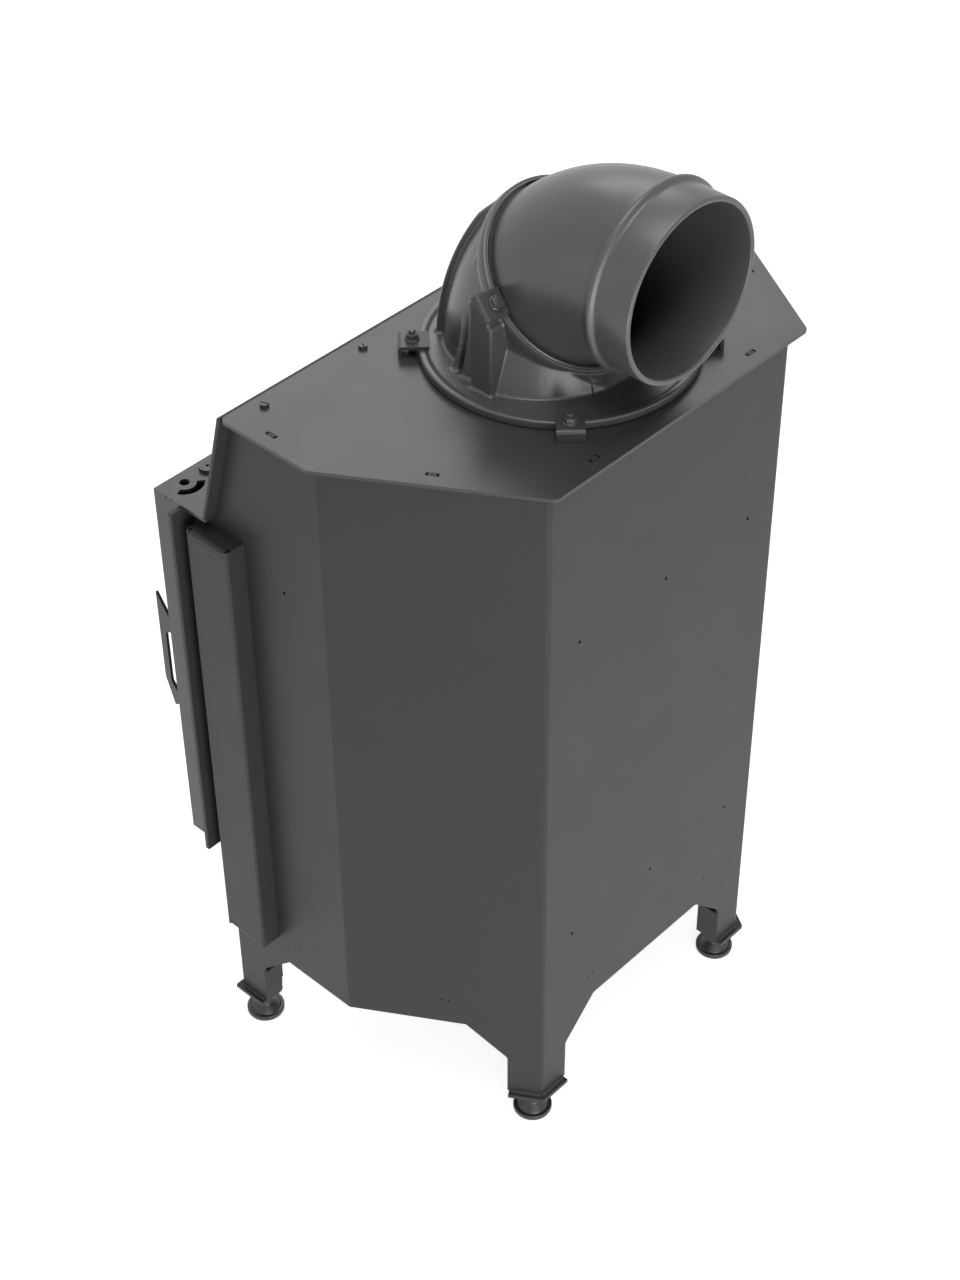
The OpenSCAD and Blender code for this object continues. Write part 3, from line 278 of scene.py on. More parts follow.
def finish_cad_nodes():
    for name, node in nodes.items():
        node.data.materials.clear()
        node.data.materials.append(FINISHES[slot_of_node[name]])


# Working steps shared by the pieces

# Points closer than this are merged: on a piece's own seams, and on a CAD node's loose triangles
SEAM_GAP = 0.03
TRIANGLE_GAP = 0.02
# Faces that meet at less than this are one flat face
FLAT = math.radians(0.5)
# Edges sharper than this are rounded, in degrees, and how much large faces count in the shading
SHARP_EDGE = 35
FACE_WEIGHT = 60


def deselect():
    if bpy.context.mode != "OBJECT":
        end_edit()
    bpy.ops.object.select_all(action="DESELECT")


def activate(piece):
    deselect()
    piece.select_set(True)
    bpy.context.view_layer.objects.active = piece


def edit_all(piece):
    """Edit mode with everything selected."""
    activate(piece)
    bpy.ops.object.mode_set(mode="EDIT")
    bpy.ops.mesh.select_all(action="SELECT")


def end_edit():
    bpy.ops.object.mode_set(mode="OBJECT")


def pick(piece, test, kind="EDGE"):
    """Edit mode with only those points, edges or faces selected whose corners all pass the test."""
    activate(piece)
    bpy.context.tool_settings.mesh_select_mode = (kind == "VERT", kind == "EDGE", kind == "FACE")
    mesh = piece.data
    passed = [test(point.co / MM) for point in mesh.vertices]
    for point, chosen in zip(mesh.vertices, passed):
        point.select = chosen
    for edge in mesh.edges:
        edge.select = kind != "FACE" and all(passed[corner] for corner in edge.vertices)
    for face in mesh.polygons:
        face.select = all(passed[corner] for corner in face.vertices)
    bpy.ops.object.mode_set(mode="EDIT")


def place(piece, matrix):
    """Move the piece by the matrix and leave its object at the origin, unturned."""
    bpy.context.view_layer.update()
    piece.matrix_world = matrix @ piece.matrix_world
    activate(piece)
    bpy.ops.object.transform_apply(location=True, rotation=True, scale=True)


def apply_modifier(piece, kind, **settings):
    activate(piece)
    modifier = piece.modifiers.new(kind.lower(), kind)
    for key, value in settings.items():
        setattr(modifier, key, value)
    bpy.ops.object.modifier_apply(modifier=modifier.name)


def turn_faces_out():
    bpy.ops.mesh.normals_make_consistent(inside=False)


def close_seams(piece):
    edit_all(piece)
    bpy.ops.mesh.remove_doubles(threshold=SEAM_GAP * MM)
    turn_faces_out()
    end_edit()


def smooth(degrees):
    """Shade the active piece smooth, but for edges sharper than this."""
    bpy.ops.object.shade_smooth_by_angle(angle=math.radians(degrees))


def round_edges(piece, width, degrees=SHARP_EDGE):
    """Bevel the edges sharper than degrees, with the flat faces kept flat in the shading."""
    apply_modifier(piece, "BEVEL", width=width * MM, segments=2, limit_method="ANGLE",
                   angle_limit=math.radians(degrees), use_clamp_overlap=True)
    smooth(degrees)
    apply_modifier(piece, "WEIGHTED_NORMAL", mode="FACE_AREA", weight=FACE_WEIGHT, keep_sharp=True)


def dress(piece, body, slot, *replaced):
    """Give a piece its finish and its body, and hide the CAD nodes that it stands for."""
    piece.data.materials.clear()
    piece.data.materials.append(FINISHES[slot])
    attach(piece, body)
    for node_name in replaced:
        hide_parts(node_name)


def twin(piece, name, matrix):
    """A copy with its own mesh, moved by the matrix; a mirrored copy is turned right side out."""
    copy = piece.copy()
    copy.data = piece.data.copy()
    copy.name = name
    bpy.context.scene.collection.objects.link(copy)
    place(copy, matrix)
    if matrix.determinant() < 0:
        edit_all(copy)
        turn_faces_out()
        end_edit()
    return copy


def joined(pieces, name):
    activate(pieces[0])
    for piece in pieces[1:]:
        piece.select_set(True)
    bpy.ops.object.join()
    pieces[0].name = name
    return pieces[0]


def cut_out(piece, cutter):
    apply_modifier(piece, "BOOLEAN", operation="DIFFERENCE", solver="EXACT", object=cutter)
    bpy.data.objects.remove(cutter)


def cad_corners(node_name):
    """Lowest and highest corner of a CAD node's box."""
    low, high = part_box(node_name)
    return Vector(low) / MM, Vector(high) / MM


def merged_copy(node_name, suffix):
    """A CAD node's mesh as a new piece, its loose triangles merged and its flat faces made whole."""
    piece = bpy.data.objects.new(node_name + suffix, nodes[node_name].data.copy())
    bpy.context.scene.collection.objects.link(piece)
    edit_all(piece)
    bpy.ops.mesh.remove_doubles(threshold=TRIANGLE_GAP * MM)
    bpy.ops.mesh.dissolve_limited(angle_limit=FLAT)
    end_edit()
    return piece


def block(name, low, high):
    """A cube primitive brought to the box from low to high."""
    deselect()
    low = Vector(low) * MM
    high = Vector(high) * MM
    bpy.ops.mesh.primitive_cube_add(size=1, location=(low + high) / 2, scale=high - low)
    piece = bpy.context.object
    piece.name = name
    place(piece, Matrix())
    return piece


def rod(name, radius, low, high, sides):
    """A cylinder round Z from low to high."""
    deselect()
    bpy.ops.mesh.primitive_cylinder_add(vertices=sides, radius=radius * MM, depth=(high - low) * MM,
                                        location=(0, 0, (low + high) / 2 * MM))
    piece = bpy.context.object
    piece.name = name
    place(piece, Matrix())
    return piece


def extrude_along(outline):
    """Extrude the selected loop round Z from the outline's first (radius, height) to its last."""
    radius, height = outline[0]
    for next_radius, next_height in outline[1:]:
        rise = (0, 0, (next_height - height) * MM)
        grow = next_radius / radius
        bpy.ops.mesh.extrude_region_move(TRANSFORM_OT_translate={"value": rise})
        bpy.ops.transform.resize(value=(grow, grow, 1), center_override=(0, 0, next_height * MM))
        radius, height = next_radius, next_height


def turned_skin(name, outline, sides):
    """A skin of revolution round Z, open where its outline is."""
    deselect()
    bpy.context.tool_settings.mesh_select_mode = (False, True, False)
    radius, height = outline[0]
    bpy.ops.mesh.primitive_circle_add(vertices=sides, radius=radius * MM, location=(0, 0, height * MM))
    piece = bpy.context.object
    piece.name = name
    edit_all(piece)
    extrude_along(outline)
    end_edit()
    place(piece, Matrix())
    return piece


def turned(name, outline, sides=72):
    """A solid body of revolution round Z."""
    piece = turned_skin(name, outline, sides)
    close_seams(piece)
    return piece


# Castings; the swivel ring and the lip lie round the tilted axis of RING_FRAME

BEND = 143
TUBE = 99
BORE = 92
COLLAR = 100
COLLAR_BORE = 93.5
COLLAR_LENGTH = 54
BEND_STEPS = 28
CAST_SMOOTHING = 40
RING_SLOPE = math.radians(45)
FLUE_FRAME = Matrix.Translation(joint_place["turret_swivel"])
RING_FRAME = Matrix.Translation(joint_place["elbow_swivel"]) @ Matrix.Rotation(-RING_SLOPE, 4, "X")
BEND_CENTRE = joint_place["elbow_swivel"] + Vector((0, 1, -1)).normalized() * BEND * MM
COLLAR_FRAME = Matrix.Translation(BEND_CENTRE + UP * BEND * MM) @ Matrix.Rotation(-math.pi / 2, 4, "X")

# Outlines are points of (radius, height)
# Room cut free for the ring, and the slanting wall that trims the ribs on the heel's side
SEAT_OUTLINE = ((101, -4), (107.6, -4), (107.6, 1), (101, 1), (101, -4))
RIB_FADE_OUTLINE = ((107, 2), (107, -3), (114.6, -48), (130, -48), (130, 2), (107, 2))
HEEL_SIDE = 35
# Remeshing that gives every corner a cast fillet
CAST_GRAIN = 1.6
CAST_SOFTENING = 0.5
CAST_PASSES = 3
CAST_KEPT = 0.45
# Groove of the mould seam in the skirt
SEAM_LOW = (-0.7, -12, 1001)
SEAM_HIGH = (0.7, 6, 1029)
SEAM_SPOT = Vector((49, 166, 0))
SEAM_TURN = math.radians(-20)
# Ring: inner edge, ridge, shoulder, outer wall, and the recess under its edge
RING_OUTLINE = (
    (101.9, -2.7), (101.5, -2.3), (101.5, -1.4), (101.8, -1.0), (102.4, -1.0),
    (102.9, -0.3), (103.3, 0), (103.7, -0.3),
    (104.3, -1.2), (105.8, -1.3), (106.9, -1.9), (107.4, -3.2),
    (107.4, -12.5), (106.9, -13.8), (105.5, -14.2),
    (102.8, -14.2), (102.8, -2.7), (101.9, -2.7))
# Points inside this radius are the ring's inner edge
RING_EDGE = 101.95
# Notches through which lip and ring are put together, in degrees round the axis, and the radius of the
# ring's and the lip's edge in a notch as a share of their own
NOTCHES = ((-49, -24), (-110, -93))
RING_NOTCH_SHARE = 1.008
LIP_NOTCH_SHARE = 0.976
# Points of the lip outside this radius are its outer edge
LIP_INNER = 101
# A loop counts as the mouth's, the bore's or the lip's when it is no further off than this
MOUTH_BAND = 0.05
BORE_BAND = 0.2
LIP_BAND = 0.1
# Elbow: lip and waist below the ring's edge, then the bead, then the collar with its rolled rim and bore
LIP_OUTLINE = ((BORE, -5.7), (101.7, -5.7), (101.7, -4.2), (98.2, -4.2), (98.3, -1.4), (TUBE, 0))
BEAD_OUTLINE = (
    (TUBE, 0), (99.2, 1), (100.6, 2.0), (103.4, 3.0), (105.0, 4.4), (105.4, 6.2),
    (105.0, 8.2), (103.4, 9.8), (101.2, 10.9), (100.2, 12.4), (COLLAR, 14.5))
RIM_OUTLINE = (
    (COLLAR, COLLAR_LENGTH - 2.6), (COLLAR - 0.7, COLLAR_LENGTH - 0.9), (COLLAR - 2.2, COLLAR_LENGTH),
    (COLLAR_BORE + 2.1, COLLAR_LENGTH), (COLLAR_BORE + 0.6, COLLAR_LENGTH - 0.8),
    (COLLAR_BORE, COLLAR_LENGTH - 2.2), (BORE, 0))


def in_notch(point):
    turn = math.degrees(math.atan2(point.y, point.x))
    return any(low <= turn <= high for low, high in NOTCHES)


def scale_round_axis(share):
    bpy.ops.transform.resize(value=(share, share, 1), center_override=(0, 0, 0))


def add_turret():
    """Lower casting: room is cut for the ring, the ribs are trimmed and remeshing gives the fillets."""
    casting = merged_copy("flue_turret", "_casting")
    seat = turned("ring_seat", SEAT_OUTLINE)
    place(seat, RING_FRAME)
    cut_out(casting, seat)
    fade = turned("rib_fade", RIB_FADE_OUTLINE)
    pick(fade, lambda point: True, "FACE")
    bpy.ops.mesh.bisect(plane_co=(0, -HEEL_SIDE * MM, 0), plane_no=(0, 1, 0),
                        clear_outer=True, use_fill=True)
    end_edit()
    place(fade, RING_FRAME)
    cut_out(casting, fade)
    apply_modifier(casting, "REMESH", mode="VOXEL", voxel_size=CAST_GRAIN * MM)
    apply_modifier(casting, "SMOOTH", factor=CAST_SOFTENING, iterations=CAST_PASSES)
    apply_modifier(casting, "DECIMATE", ratio=CAST_KEPT)
    seam = block("mould_seam", SEAM_LOW, SEAM_HIGH)
    place(seam, Matrix.Translation(SEAM_SPOT * MM) @ Matrix.Rotation(SEAM_TURN, 4, "Z"))
    cut_out(casting, seam)
    bpy.ops.object.shade_smooth()
    dress(casting, "turret", "cast_paint", "flue_turret")


def add_swivel_ring():
    """The ring at the lower casting's mouth, with notches in its inner edge."""
    ring = turned("turret_swivel_ring", RING_OUTLINE, sides=144)
    pick(ring, lambda point: point.xy.length < RING_EDGE and in_notch(point), "VERT")
    scale_round_axis(RING_NOTCH_SHARE)
    end_edit()
    smooth(CAST_SMOOTHING)
    place(ring, RING_FRAME)
    dress(ring, "turret", "cast_paint")


def spin_bend(axis):
    bpy.ops.mesh.spin(steps=BEND_STEPS, angle=RING_SLOPE, center=(0, BEND * MM, 0), axis=axis)
    end_edit()


def add_elbow():
    """Upper casting as one skin: lip, bend, bead, collar and back through the bore to the lip."""
    elbow = turned_skin("flue_elbow_casting", LIP_OUTLINE, sides=96)
    pick(elbow, lambda point: point.xy.length > LIP_INNER and in_notch(point), "VERT")
    scale_round_axis(LIP_NOTCH_SHARE)
    pick(elbow, lambda point: point.z > -NEAR)
    spin_bend((1, 0, 0))
    place(elbow, COLLAR_FRAME.inverted() @ RING_FRAME)
    pick(elbow, lambda point: abs(point.z) < MOUTH_BAND)
    extrude_along(BEAD_OUTLINE + RIM_OUTLINE)
    spin_bend((-1, 0, 0))
    place(elbow, RING_FRAME.inverted() @ COLLAR_FRAME)
    pick(elbow, lambda point: point.xy.length < BORE + BORE_BAND and point.z < LIP_BAND)
    bpy.ops.mesh.bridge_edge_loops()
    close_seams(elbow)
    smooth(CAST_SMOOTHING)
    place(elbow, RING_FRAME)
    dress(elbow, "elbow", "cast_paint", "flue_elbow")


# Clamps, bolts and nuts

M8_HOLE = 8.6
M8_CREST = 3.9
M8_PITCH = 1.25
M8_DEPTH = 0.5
FASTENER_SMOOTHING = 32
HEX = 13
CROWN = 0.9
FLANGE_HIGH = 1.6
NUT_HIGH = 6.5
HEAD_HIGH = 5.5
# Coned flange under a nut or a bolt head
FLANGE_OUTLINE = ((POLE, 0), (7.5, 0), (8, 0.4), (8, 1.1), (7.5, FLANGE_HIGH), (6.6, 2.6), (POLE, 2.6))
# Thread: where crest, root and next crest lie, as shares of the pitch, and the chamfer at its end
CREST_SHARE = 0.4
ROOT_SHARE = 0.3
NEXT_SHARE = 0.6
CHAMFER_IN = 1.0
CHAMFER_DOWN = 0.9
PLATE = 4
CLIP_WIDE = 30
OUTER_BEND_SHARE = 0.9
INNER_BEND_SHARE = 0.3
CLIP_EDGE = 0.45

# The lower casting's flange and its clamps, placed from the flue's axis and turned in degrees
TURRET_FLANGE = 10
STUD_RING = 157
STUD_LOW = -4
STUD_HIGH = 26
STUD_TURNS = (45, 135, 225, 315)
FLANGE_CLIP_NEAR = 139
FLANGE_CLIP_FAR = 172
# Swivel clamps, placed from the ring's axis
SWIVEL_CLIP_NEAR = 100.4
SWIVEL_CLIP_FAR = 131
SWIVEL_CLIP_LEG = 5
SWIVEL_BOLT = 112
SWIVEL_BOLT_LOW = -16
SWIVEL_TURN = math.radians(-7)


def bent_clip(name, near, far, leg, bolt_at):
    """A strap bent from thick plate: flat from near to far, its outer end folded down by leg."""
    clip = block(name, (near, -CLIP_WIDE / 2, 0), (far, CLIP_WIDE / 2, PLATE))
    pick(clip, lambda point: True, "FACE")
    bpy.ops.mesh.bisect(plane_co=((far - PLATE) * MM, 0, 0), plane_no=(1, 0, 0))
    pick(clip, lambda point: point.z < NEAR and point.x > far - PLATE - NEAR, "FACE")
    bpy.ops.mesh.extrude_region_move(TRANSFORM_OT_translate={"value": (0, 0, -leg * MM)})
    pick(clip, lambda point: point.x > far - NEAR and point.z > PLATE - NEAR)
    bpy.ops.mesh.bevel(offset=OUTER_BEND_SHARE * PLATE * MM, segments=5, affect="EDGES")
    pick(clip, lambda point: abs(point.x - far + PLATE) < NEAR and abs(point.z) < NEAR)
    bpy.ops.mesh.bevel(offset=INNER_BEND_SHARE * PLATE * MM, segments=3, affect="EDGES")
    end_edit()
    drill = rod("drill", M8_HOLE / 2, -PLATE, 2 * PLATE, sides=48)
    place(drill, Matrix.Translation((bolt_at * MM, 0, 0)))
    cut_out(clip, drill)
    round_edges(clip, CLIP_EDGE)
    return clip


def flanged_hexagon(name, low, high):
    """M8 hexagon with a chamfered crown on a coned flange."""
    head = rod(name, HEX / 2 / math.cos(math.pi / 6), low, high, sides=6)
    pick(head, lambda point: point.z > high - NEAR)
    bpy.ops.mesh.bevel(offset=CROWN * MM, segments=2, affect="EDGES")
    end_edit()
    outline = [(radius, low + height) for radius, height in FLANGE_OUTLINE]
    flange = turned(name + "_flange", outline, sides=40)
    head = joined([head, flange], name)
    smooth(FASTENER_SMOOTHING)
    return head


def thread_outline(radius, low, high, pitch, depth):
    """Outline of a threaded rod, with crests and roots as rings and a chamfered end."""
    outline = [(POLE, low), (radius, low)]
    for turn in range(int((high - low - pitch) / pitch)):
        crest = low + pitch * (turn + CREST_SHARE)
        outline += [(radius, crest), (radius - depth, crest + pitch * ROOT_SHARE),
                    (radius, crest + pitch * NEXT_SHARE)]
    return outline + [(radius, high - CHAMFER_DOWN), (radius - CHAMFER_IN, high), (POLE, high)]


def m8_thread(name, low, high):
    return turned(name, thread_outline(M8_CREST, low, high, M8_PITCH, M8_DEPTH), sides=32)


def add_flange_clamps():
    """Four clamps, studs and nuts that hold the lower casting's flange to the top plate."""
    clip = bent_clip("flange_clamp", FLANGE_CLIP_NEAR, FLANGE_CLIP_FAR, TURRET_FLANGE, STUD_RING)
    place(clip, Matrix.Translation((0, 0, TURRET_FLANGE * MM)))
    seat = TURRET_FLANGE + PLATE
    nut = flanged_hexagon("flange_nut", seat, seat + FLANGE_HIGH + NUT_HIGH)
    stud = m8_thread("flange_stud", STUD_LOW, STUD_HIGH)
    smooth(FASTENER_SMOOTHING)
    for part in (nut, stud):
        place(part, Matrix.Translation((STUD_RING * MM, 0, 0)))
    kinds = ((clip, "clamp_paint", "flange_clamps"), (nut, "fastener_steel", "flange_nuts"),
             (stud, "fastener_steel", "flange_studs"))
    for number, turn in enumerate(STUD_TURNS):
        at = FLUE_FRAME @ Matrix.Rotation(math.radians(turn), 4, "Z")
        for part, slot, node_name in kinds:
            copy = twin(part, "%s_%d" % (part.name, number + 1), at)
            replaced = [node_name] if number == 0 else []
            dress(copy, "root", slot, *replaced)
    for part in (clip, nut, stud):
        bpy.data.objects.remove(part)


def add_swivel_clamps():
    """Two clamps and bolts that hold the elbow's lip in the ring."""
    clip = bent_clip("swivel_clamp", SWIVEL_CLIP_NEAR, SWIVEL_CLIP_FAR, SWIVEL_CLIP_LEG, SWIVEL_BOLT)
    head = flanged_hexagon("swivel_bolt", PLATE, PLATE + FLANGE_HIGH + HEAD_HIGH)
    shank = m8_thread("swivel_bolt_shank", SWIVEL_BOLT_LOW, PLATE)
    bolt = joined([head, shank], "swivel_bolt")
    smooth(FASTENER_SMOOTHING)
    place(bolt, Matrix.Translation((SWIVEL_BOLT * MM, 0, 0)))
    at = RING_FRAME @ Matrix.Rotation(SWIVEL_TURN, 4, "Z")
    kinds = ((clip, "clamp_paint", "swivel_clamps"), (bolt, "fastener_steel", "swivel_bolts"))
    for part, slot, node_name in kinds:
        place(part, at)
        other = twin(part, part.name + "_left", MIRRORED)
        part.name += "_right"
        dress(part, "turret", slot, node_name)
        dress(other, "turret", slot)


# Ducts

SHEET = 2
DUCT_BEND = 3
# Lip bent over at each end, and the relief cut that frees it from the corners
DUCT_LIP = 8
DUCT_LIP_BEND = 4
RELIEF = 5
RELIEF_ROOM = 0.4
RELIEF_OVERRUN = 1
ROOM_OVERRUN = 0.2
# End flap behind the lip: its gap to the wall and how far it lies below the duct's end
FLAP_CLEAR = 0.2
FLAP_SUNK = 0.8
DUCT_EDGE = 0.3
DUCT_FOLD = math.radians(60)
DUCT_SHARP = 40


def folded_wall(low, high):
    """The duct's wrapped wall: a box open to the body and at both ends, bent and given its thickness."""
    wall = block("side_duct_right_folded", low, high)
    open_sides = (lambda point: point.x < low.x + NEAR, lambda point: point.z > high.z - NEAR,
                  lambda point: point.z < low.z + NEAR)
    for open_side in open_sides:
        pick(wall, open_side, "FACE")
        bpy.ops.mesh.delete(type="ONLY_FACE")
    end_edit()
    apply_modifier(wall, "BEVEL", width=DUCT_BEND * MM, segments=5, limit_method="ANGLE",
                   angle_limit=DUCT_FOLD)
    apply_modifier(wall, "SOLIDIFY", thickness=SHEET * MM, offset=-1, use_even_offset=True)
    return wall


def add_ducts():
    """Air ducts folded from sheet, with end flaps whose bent lips stop short of the corners."""
    low, high = cad_corners("side_duct_right")
    wall = folded_wall(low, high)
    lip = block("duct_lip", (high.x - DUCT_LIP, low.y + RELIEF, high.z - DUCT_LIP),
                (high.x, high.y - RELIEF, high.z))
    pick(lip, lambda point: point.x > high.x - NEAR and point.z > high.z - NEAR)
    bpy.ops.mesh.bevel(offset=DUCT_LIP_BEND * MM, segments=6, affect="EDGES")
    end_edit()
    flap = block("duct_flap", (low.x, low.y + SHEET + FLAP_CLEAR, high.z - SHEET - FLAP_SUNK),
                 (high.x - DUCT_LIP, high.y - SHEET - FLAP_CLEAR, high.z - FLAP_SUNK))
    upside_down = Matrix.Translation((0, 0, (low.z + high.z) * MM)) @ Matrix.Scale(-1, 4, (0, 0, 1))
    flaps = [lip, flap, twin(lip, "duct_lip_low", upside_down), twin(flap, "duct_flap_low", upside_down)]
    reach = DUCT_LIP + ROOM_OVERRUN
    for edge in (high.z, low.z):
        room = block("room_for_lip",
                     (high.x - SHEET - RELIEF_OVERRUN, low.y + RELIEF - RELIEF_ROOM, edge - reach),
                     (high.x + RELIEF_OVERRUN, high.y - RELIEF + RELIEF_ROOM, edge + reach))
        cut_out(wall, room)
    duct = joined([wall] + flaps, "side_duct_right_folded")
    round_edges(duct, DUCT_EDGE, DUCT_SHARP)
    other = twin(duct, "side_duct_left_folded", MIRRORED)
    dress(duct, "root", "dark_paint", "side_duct_right")
    dress(other, "root", "dark_paint", "side_duct_left")


# Levelling feet

FEET = ("foot_front_left", "foot_front_right", "foot_rear_left", "foot_rear_right")
# Rim, shallow groove, cone, and neck up to the stud
FOOT_OUTLINE = [
    (POLE, 0), (22.9, 0), (23.8, 0.5), (24.3, 1.6), (24.3, 6.0), (23.7, 7.1), (22.9, 7.4), (19.9, 7.2),
    (19.5, 6.8), (19.2, 7.4), (18.4, 8.6), (11.0, 14.6), (9.6, 16.2), (9.2, 18.4),
    (9.2, 42.6), (8.4, 43.8), (6.6, 44)]
M12_CREST = 6
M12_PITCH = 1.75
M12_DEPTH = 0.7
FOOT_STUD_LOW = 44
FOOT_STUD_HIGH = 77
FOOT_SMOOTHING = 38


def add_feet():
    """Four levelling feet, each turned in one with its threaded stud."""
    stud_outline = thread_outline(M12_CREST, FOOT_STUD_LOW, FOOT_STUD_HIGH, M12_PITCH, M12_DEPTH)
    foot = turned("foot", FOOT_OUTLINE + stud_outline[1:], sides=56)
    smooth(FOOT_SMOOTHING)
    for node_name in FEET:
        low, high = cad_corners(node_name)
        middle = (low + high) / 2 * MM
        copy = twin(foot, node_name + "_turned", Matrix.Translation((middle.x, middle.y, 0)))
        dress(copy, body_of_node[node_name], "foot_iron", node_name)
    bpy.data.objects.remove(foot)


# Weld beads between the legs and their base plates; a base plate's edge stands LEDGE out from its leg

LEDGE = 7
BASE_TOP = 52
# Half the back's width, where the angled panel starts, and the way along that panel
BACK_CORNER = 193
ANGLE_WAY = (125, -204, 0)
FRONT_WELD = 37
REAR_WELD = 39
WELD_START = 2
# Bead: its radius and the length of a ripple, and where the first ripple lies
BEAD = 3.2
RIPPLE = 2.6
FIRST_RIPPLE = 2.8
PLAIN_ENDS = 5
VALLEY_SHARE = 0.93
BEAD_END = ((POLE, 0), (0.6 * BEAD, 0.6), (0.86 * BEAD, 1.6))


def weld_bead(name, start, way, length):
    """A rippled bead laid from start along way."""
    outline = list(BEAD_END)
    for turn in range(int((length - PLAIN_ENDS) / RIPPLE)):
        crest = FIRST_RIPPLE + RIPPLE * turn
        outline += [(BEAD, crest), (VALLEY_SHARE * BEAD, crest + RIPPLE / 2)]
    outline += [(radius, length - height) for radius, height in reversed(BEAD_END)]
    bead = turned(name, outline, sides=20)
    bpy.ops.object.shade_smooth()
    along = Vector(way).to_track_quat("Z", "Y").to_matrix().to_4x4()
    place(bead, Matrix.Translation(Vector(start) * MM) @ along)
    return bead


def add_leg_welds():
    front_low, front_high = cad_corners("leg_base_front_right")
    side = front_high.x - LEDGE
    front = front_low.y + LEDGE
    rear_high = cad_corners("leg_base_rear_right")[1]
    corner = (BACK_CORNER, rear_high.y - LEDGE, BASE_TOP)
    beads = [
        weld_bead("leg_weld_front_side", (side, front + WELD_START, BASE_TOP), (0, 1, 0), FRONT_WELD),
        weld_bead("leg_weld_front", (side - WELD_START, front, BASE_TOP), (-1, 0, 0), FRONT_WELD),
        weld_bead("leg_weld_rear", corner, (-1, 0, 0), REAR_WELD),
        weld_bead("leg_weld_rear_angle", corner, ANGLE_WAY, REAR_WELD)]
    for bead in beads:
        other = twin(bead, bead.name + "_left", MIRRORED)
        bead.name += "_right"
        dress(bead, "root", "dark_paint")
        dress(other, "root", "dark_paint")


# CAD pieces whose cut edges are rounded, and by how much

EDGE_WIDTHS = {
    "body_shell": 0.6, "top_plate": 1.2, "hood_plate": 1.0, "face_plate": 0.8, "door_frame": 0.8,
    "lower_front_panel": 0.6, "leg_base_front_left": 0.8, "leg_base_front_right": 0.8,
    "leg_base_rear_left": 0.8, "leg_base_rear_right": 0.8, "air_slider": 0.6, "slider_guides": 0.6,
    "door_panel": 0.8, "door_handle": 0.7, "top_screws": 0.9, "latch_shaft": 0.3, "latch_claw": 0.5,
    "hearth_slab": 1.2, "brick_back": 1.6, "brick_angle_left": 1.6, "brick_angle_right": 1.6,
    "brick_side_left": 1.6, "brick_side_right": 1.6, "baffle_plate": 1.6, "grate": 1.0, "log_guard": 0.6,
    "ash_pan": 0.4, "air_knob": 0.6, "glass_clips": 0.4, "leg_nuts": 0.5,
}


def add_edged_pieces():
    for name, width in EDGE_WIDTHS.items():
        piece = merged_copy(name, "_edged")
        round_edges(piece, width)
        dress(piece, body_of_node[name], slot_of_node[name], name)


# Lights and background, in metres and watts

WORLD_LIGHT = 0.23
WHITE = (1, 1, 1, 1)
FLOOR_SIDE = 14
FLOOR_HEIGHT = -0.001
FLOOR_COLOUR = (0.8, 0.8, 0.8, 1)
FLOOR_ROUGHNESS = 0.9
FLOOR_GLOW = 0.8
# Each lamp's place, aim, sides and power
LAMPS = {
    "overhead_softbox": ((0.2, 0.5, 3.6), (0, 0, 0.9), (2.0, 2.0), 44),
    "front_softbox": ((-2.1, -2.2, 3.5), (0, 0, 1.0), (2.2, 1.6), 26),
    "rear_softbox": ((1.5, 2.6, 0.7), (0, 0, 0.42), (1.8, 1.5), 33),
    "flue_fill": ((0.1, 1.6, 1.3), (0, 0.15, 1.05), (0.5, 0.5), 2.0),
    "low_softbox": ((1.2, 1.9, 0.25), (0.2, 0.1, 0.12), (0.9, 0.4), 6),
    "side_strip": ((2.9, -1.7, 1.9), (0, 0, 1.1), (0.5, 1.6), 2.5),
}


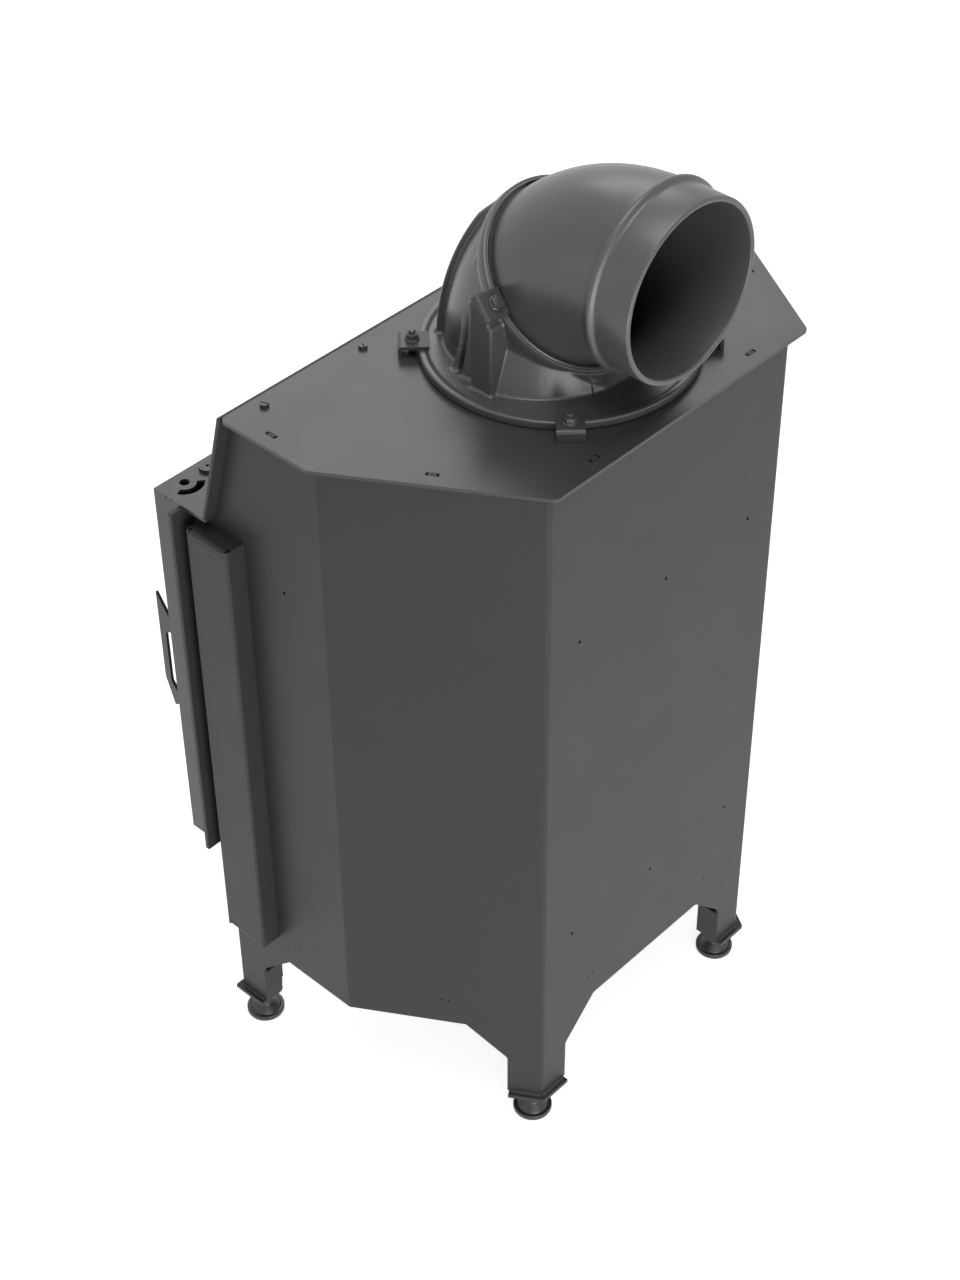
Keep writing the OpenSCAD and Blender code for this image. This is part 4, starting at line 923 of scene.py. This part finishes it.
def add_lights():
    for name, (spot, aim, sides, power) in LAMPS.items():
        light = bpy.data.lights.new(name, "AREA")
        light.shape = "RECTANGLE"
        light.size = sides[0]
        light.size_y = sides[1]
        light.energy = power
        lamp = bpy.data.objects.new(name, light)
        bpy.context.scene.collection.objects.link(lamp)
        lamp.location = spot
        lamp.rotation_euler = (Vector(aim) - Vector(spot)).to_track_quat("-Z", "Y").to_euler()


def lit_by_view(tree, unseen, seen):
    """One value for rays from the camera, a mirror or a glass, and another for the rest."""
    path = tree.nodes.new("ShaderNodeLightPath")
    direct = add_math(tree, "MAXIMUM", path.outputs["Is Camera Ray"], path.outputs["Is Glossy Ray"])
    direct = add_math(tree, "MAXIMUM", direct, path.outputs["Is Transmission Ray"])
    return add_range(tree, direct, unseen, seen, from_low=0.0, from_high=1.0)


def add_world():
    world = bpy.data.worlds.new("studio")
    bpy.context.scene.world = world
    world.use_nodes = True
    tree = world.node_tree
    shade = tree.nodes["Background"]
    shade.inputs["Color"].default_value = WHITE
    tree.links.new(lit_by_view(tree, WORLD_LIGHT, 1.0), shade.inputs["Strength"])


def add_floor():
    deselect()
    bpy.ops.mesh.primitive_plane_add(size=FLOOR_SIDE, location=(0, 0, FLOOR_HEIGHT))
    floor = bpy.context.object
    floor.name = "studio_floor"
    material = bpy.data.materials.new("studio_floor")
    material.use_nodes = True
    tree = material.node_tree
    shader = tree.nodes["Principled BSDF"]
    shader.inputs["Base Color"].default_value = FLOOR_COLOUR
    shader.inputs["Roughness"].default_value = FLOOR_ROUGHNESS
    shader.inputs["Emission Color"].default_value = WHITE
    tree.links.new(lit_by_view(tree, 0.0, FLOOR_GLOW), shader.inputs["Emission Strength"])
    floor.data.materials.append(material)


finish_cad_nodes()
add_turret()
add_swivel_ring()
add_elbow()
add_flange_clamps()
add_swivel_clamps()
add_ducts()
add_feet()
add_leg_welds()
add_edged_pieces()
add_world()
add_floor()
add_lights()
add_camera()
bpy.context.scene.view_settings.view_transform = "Standard"
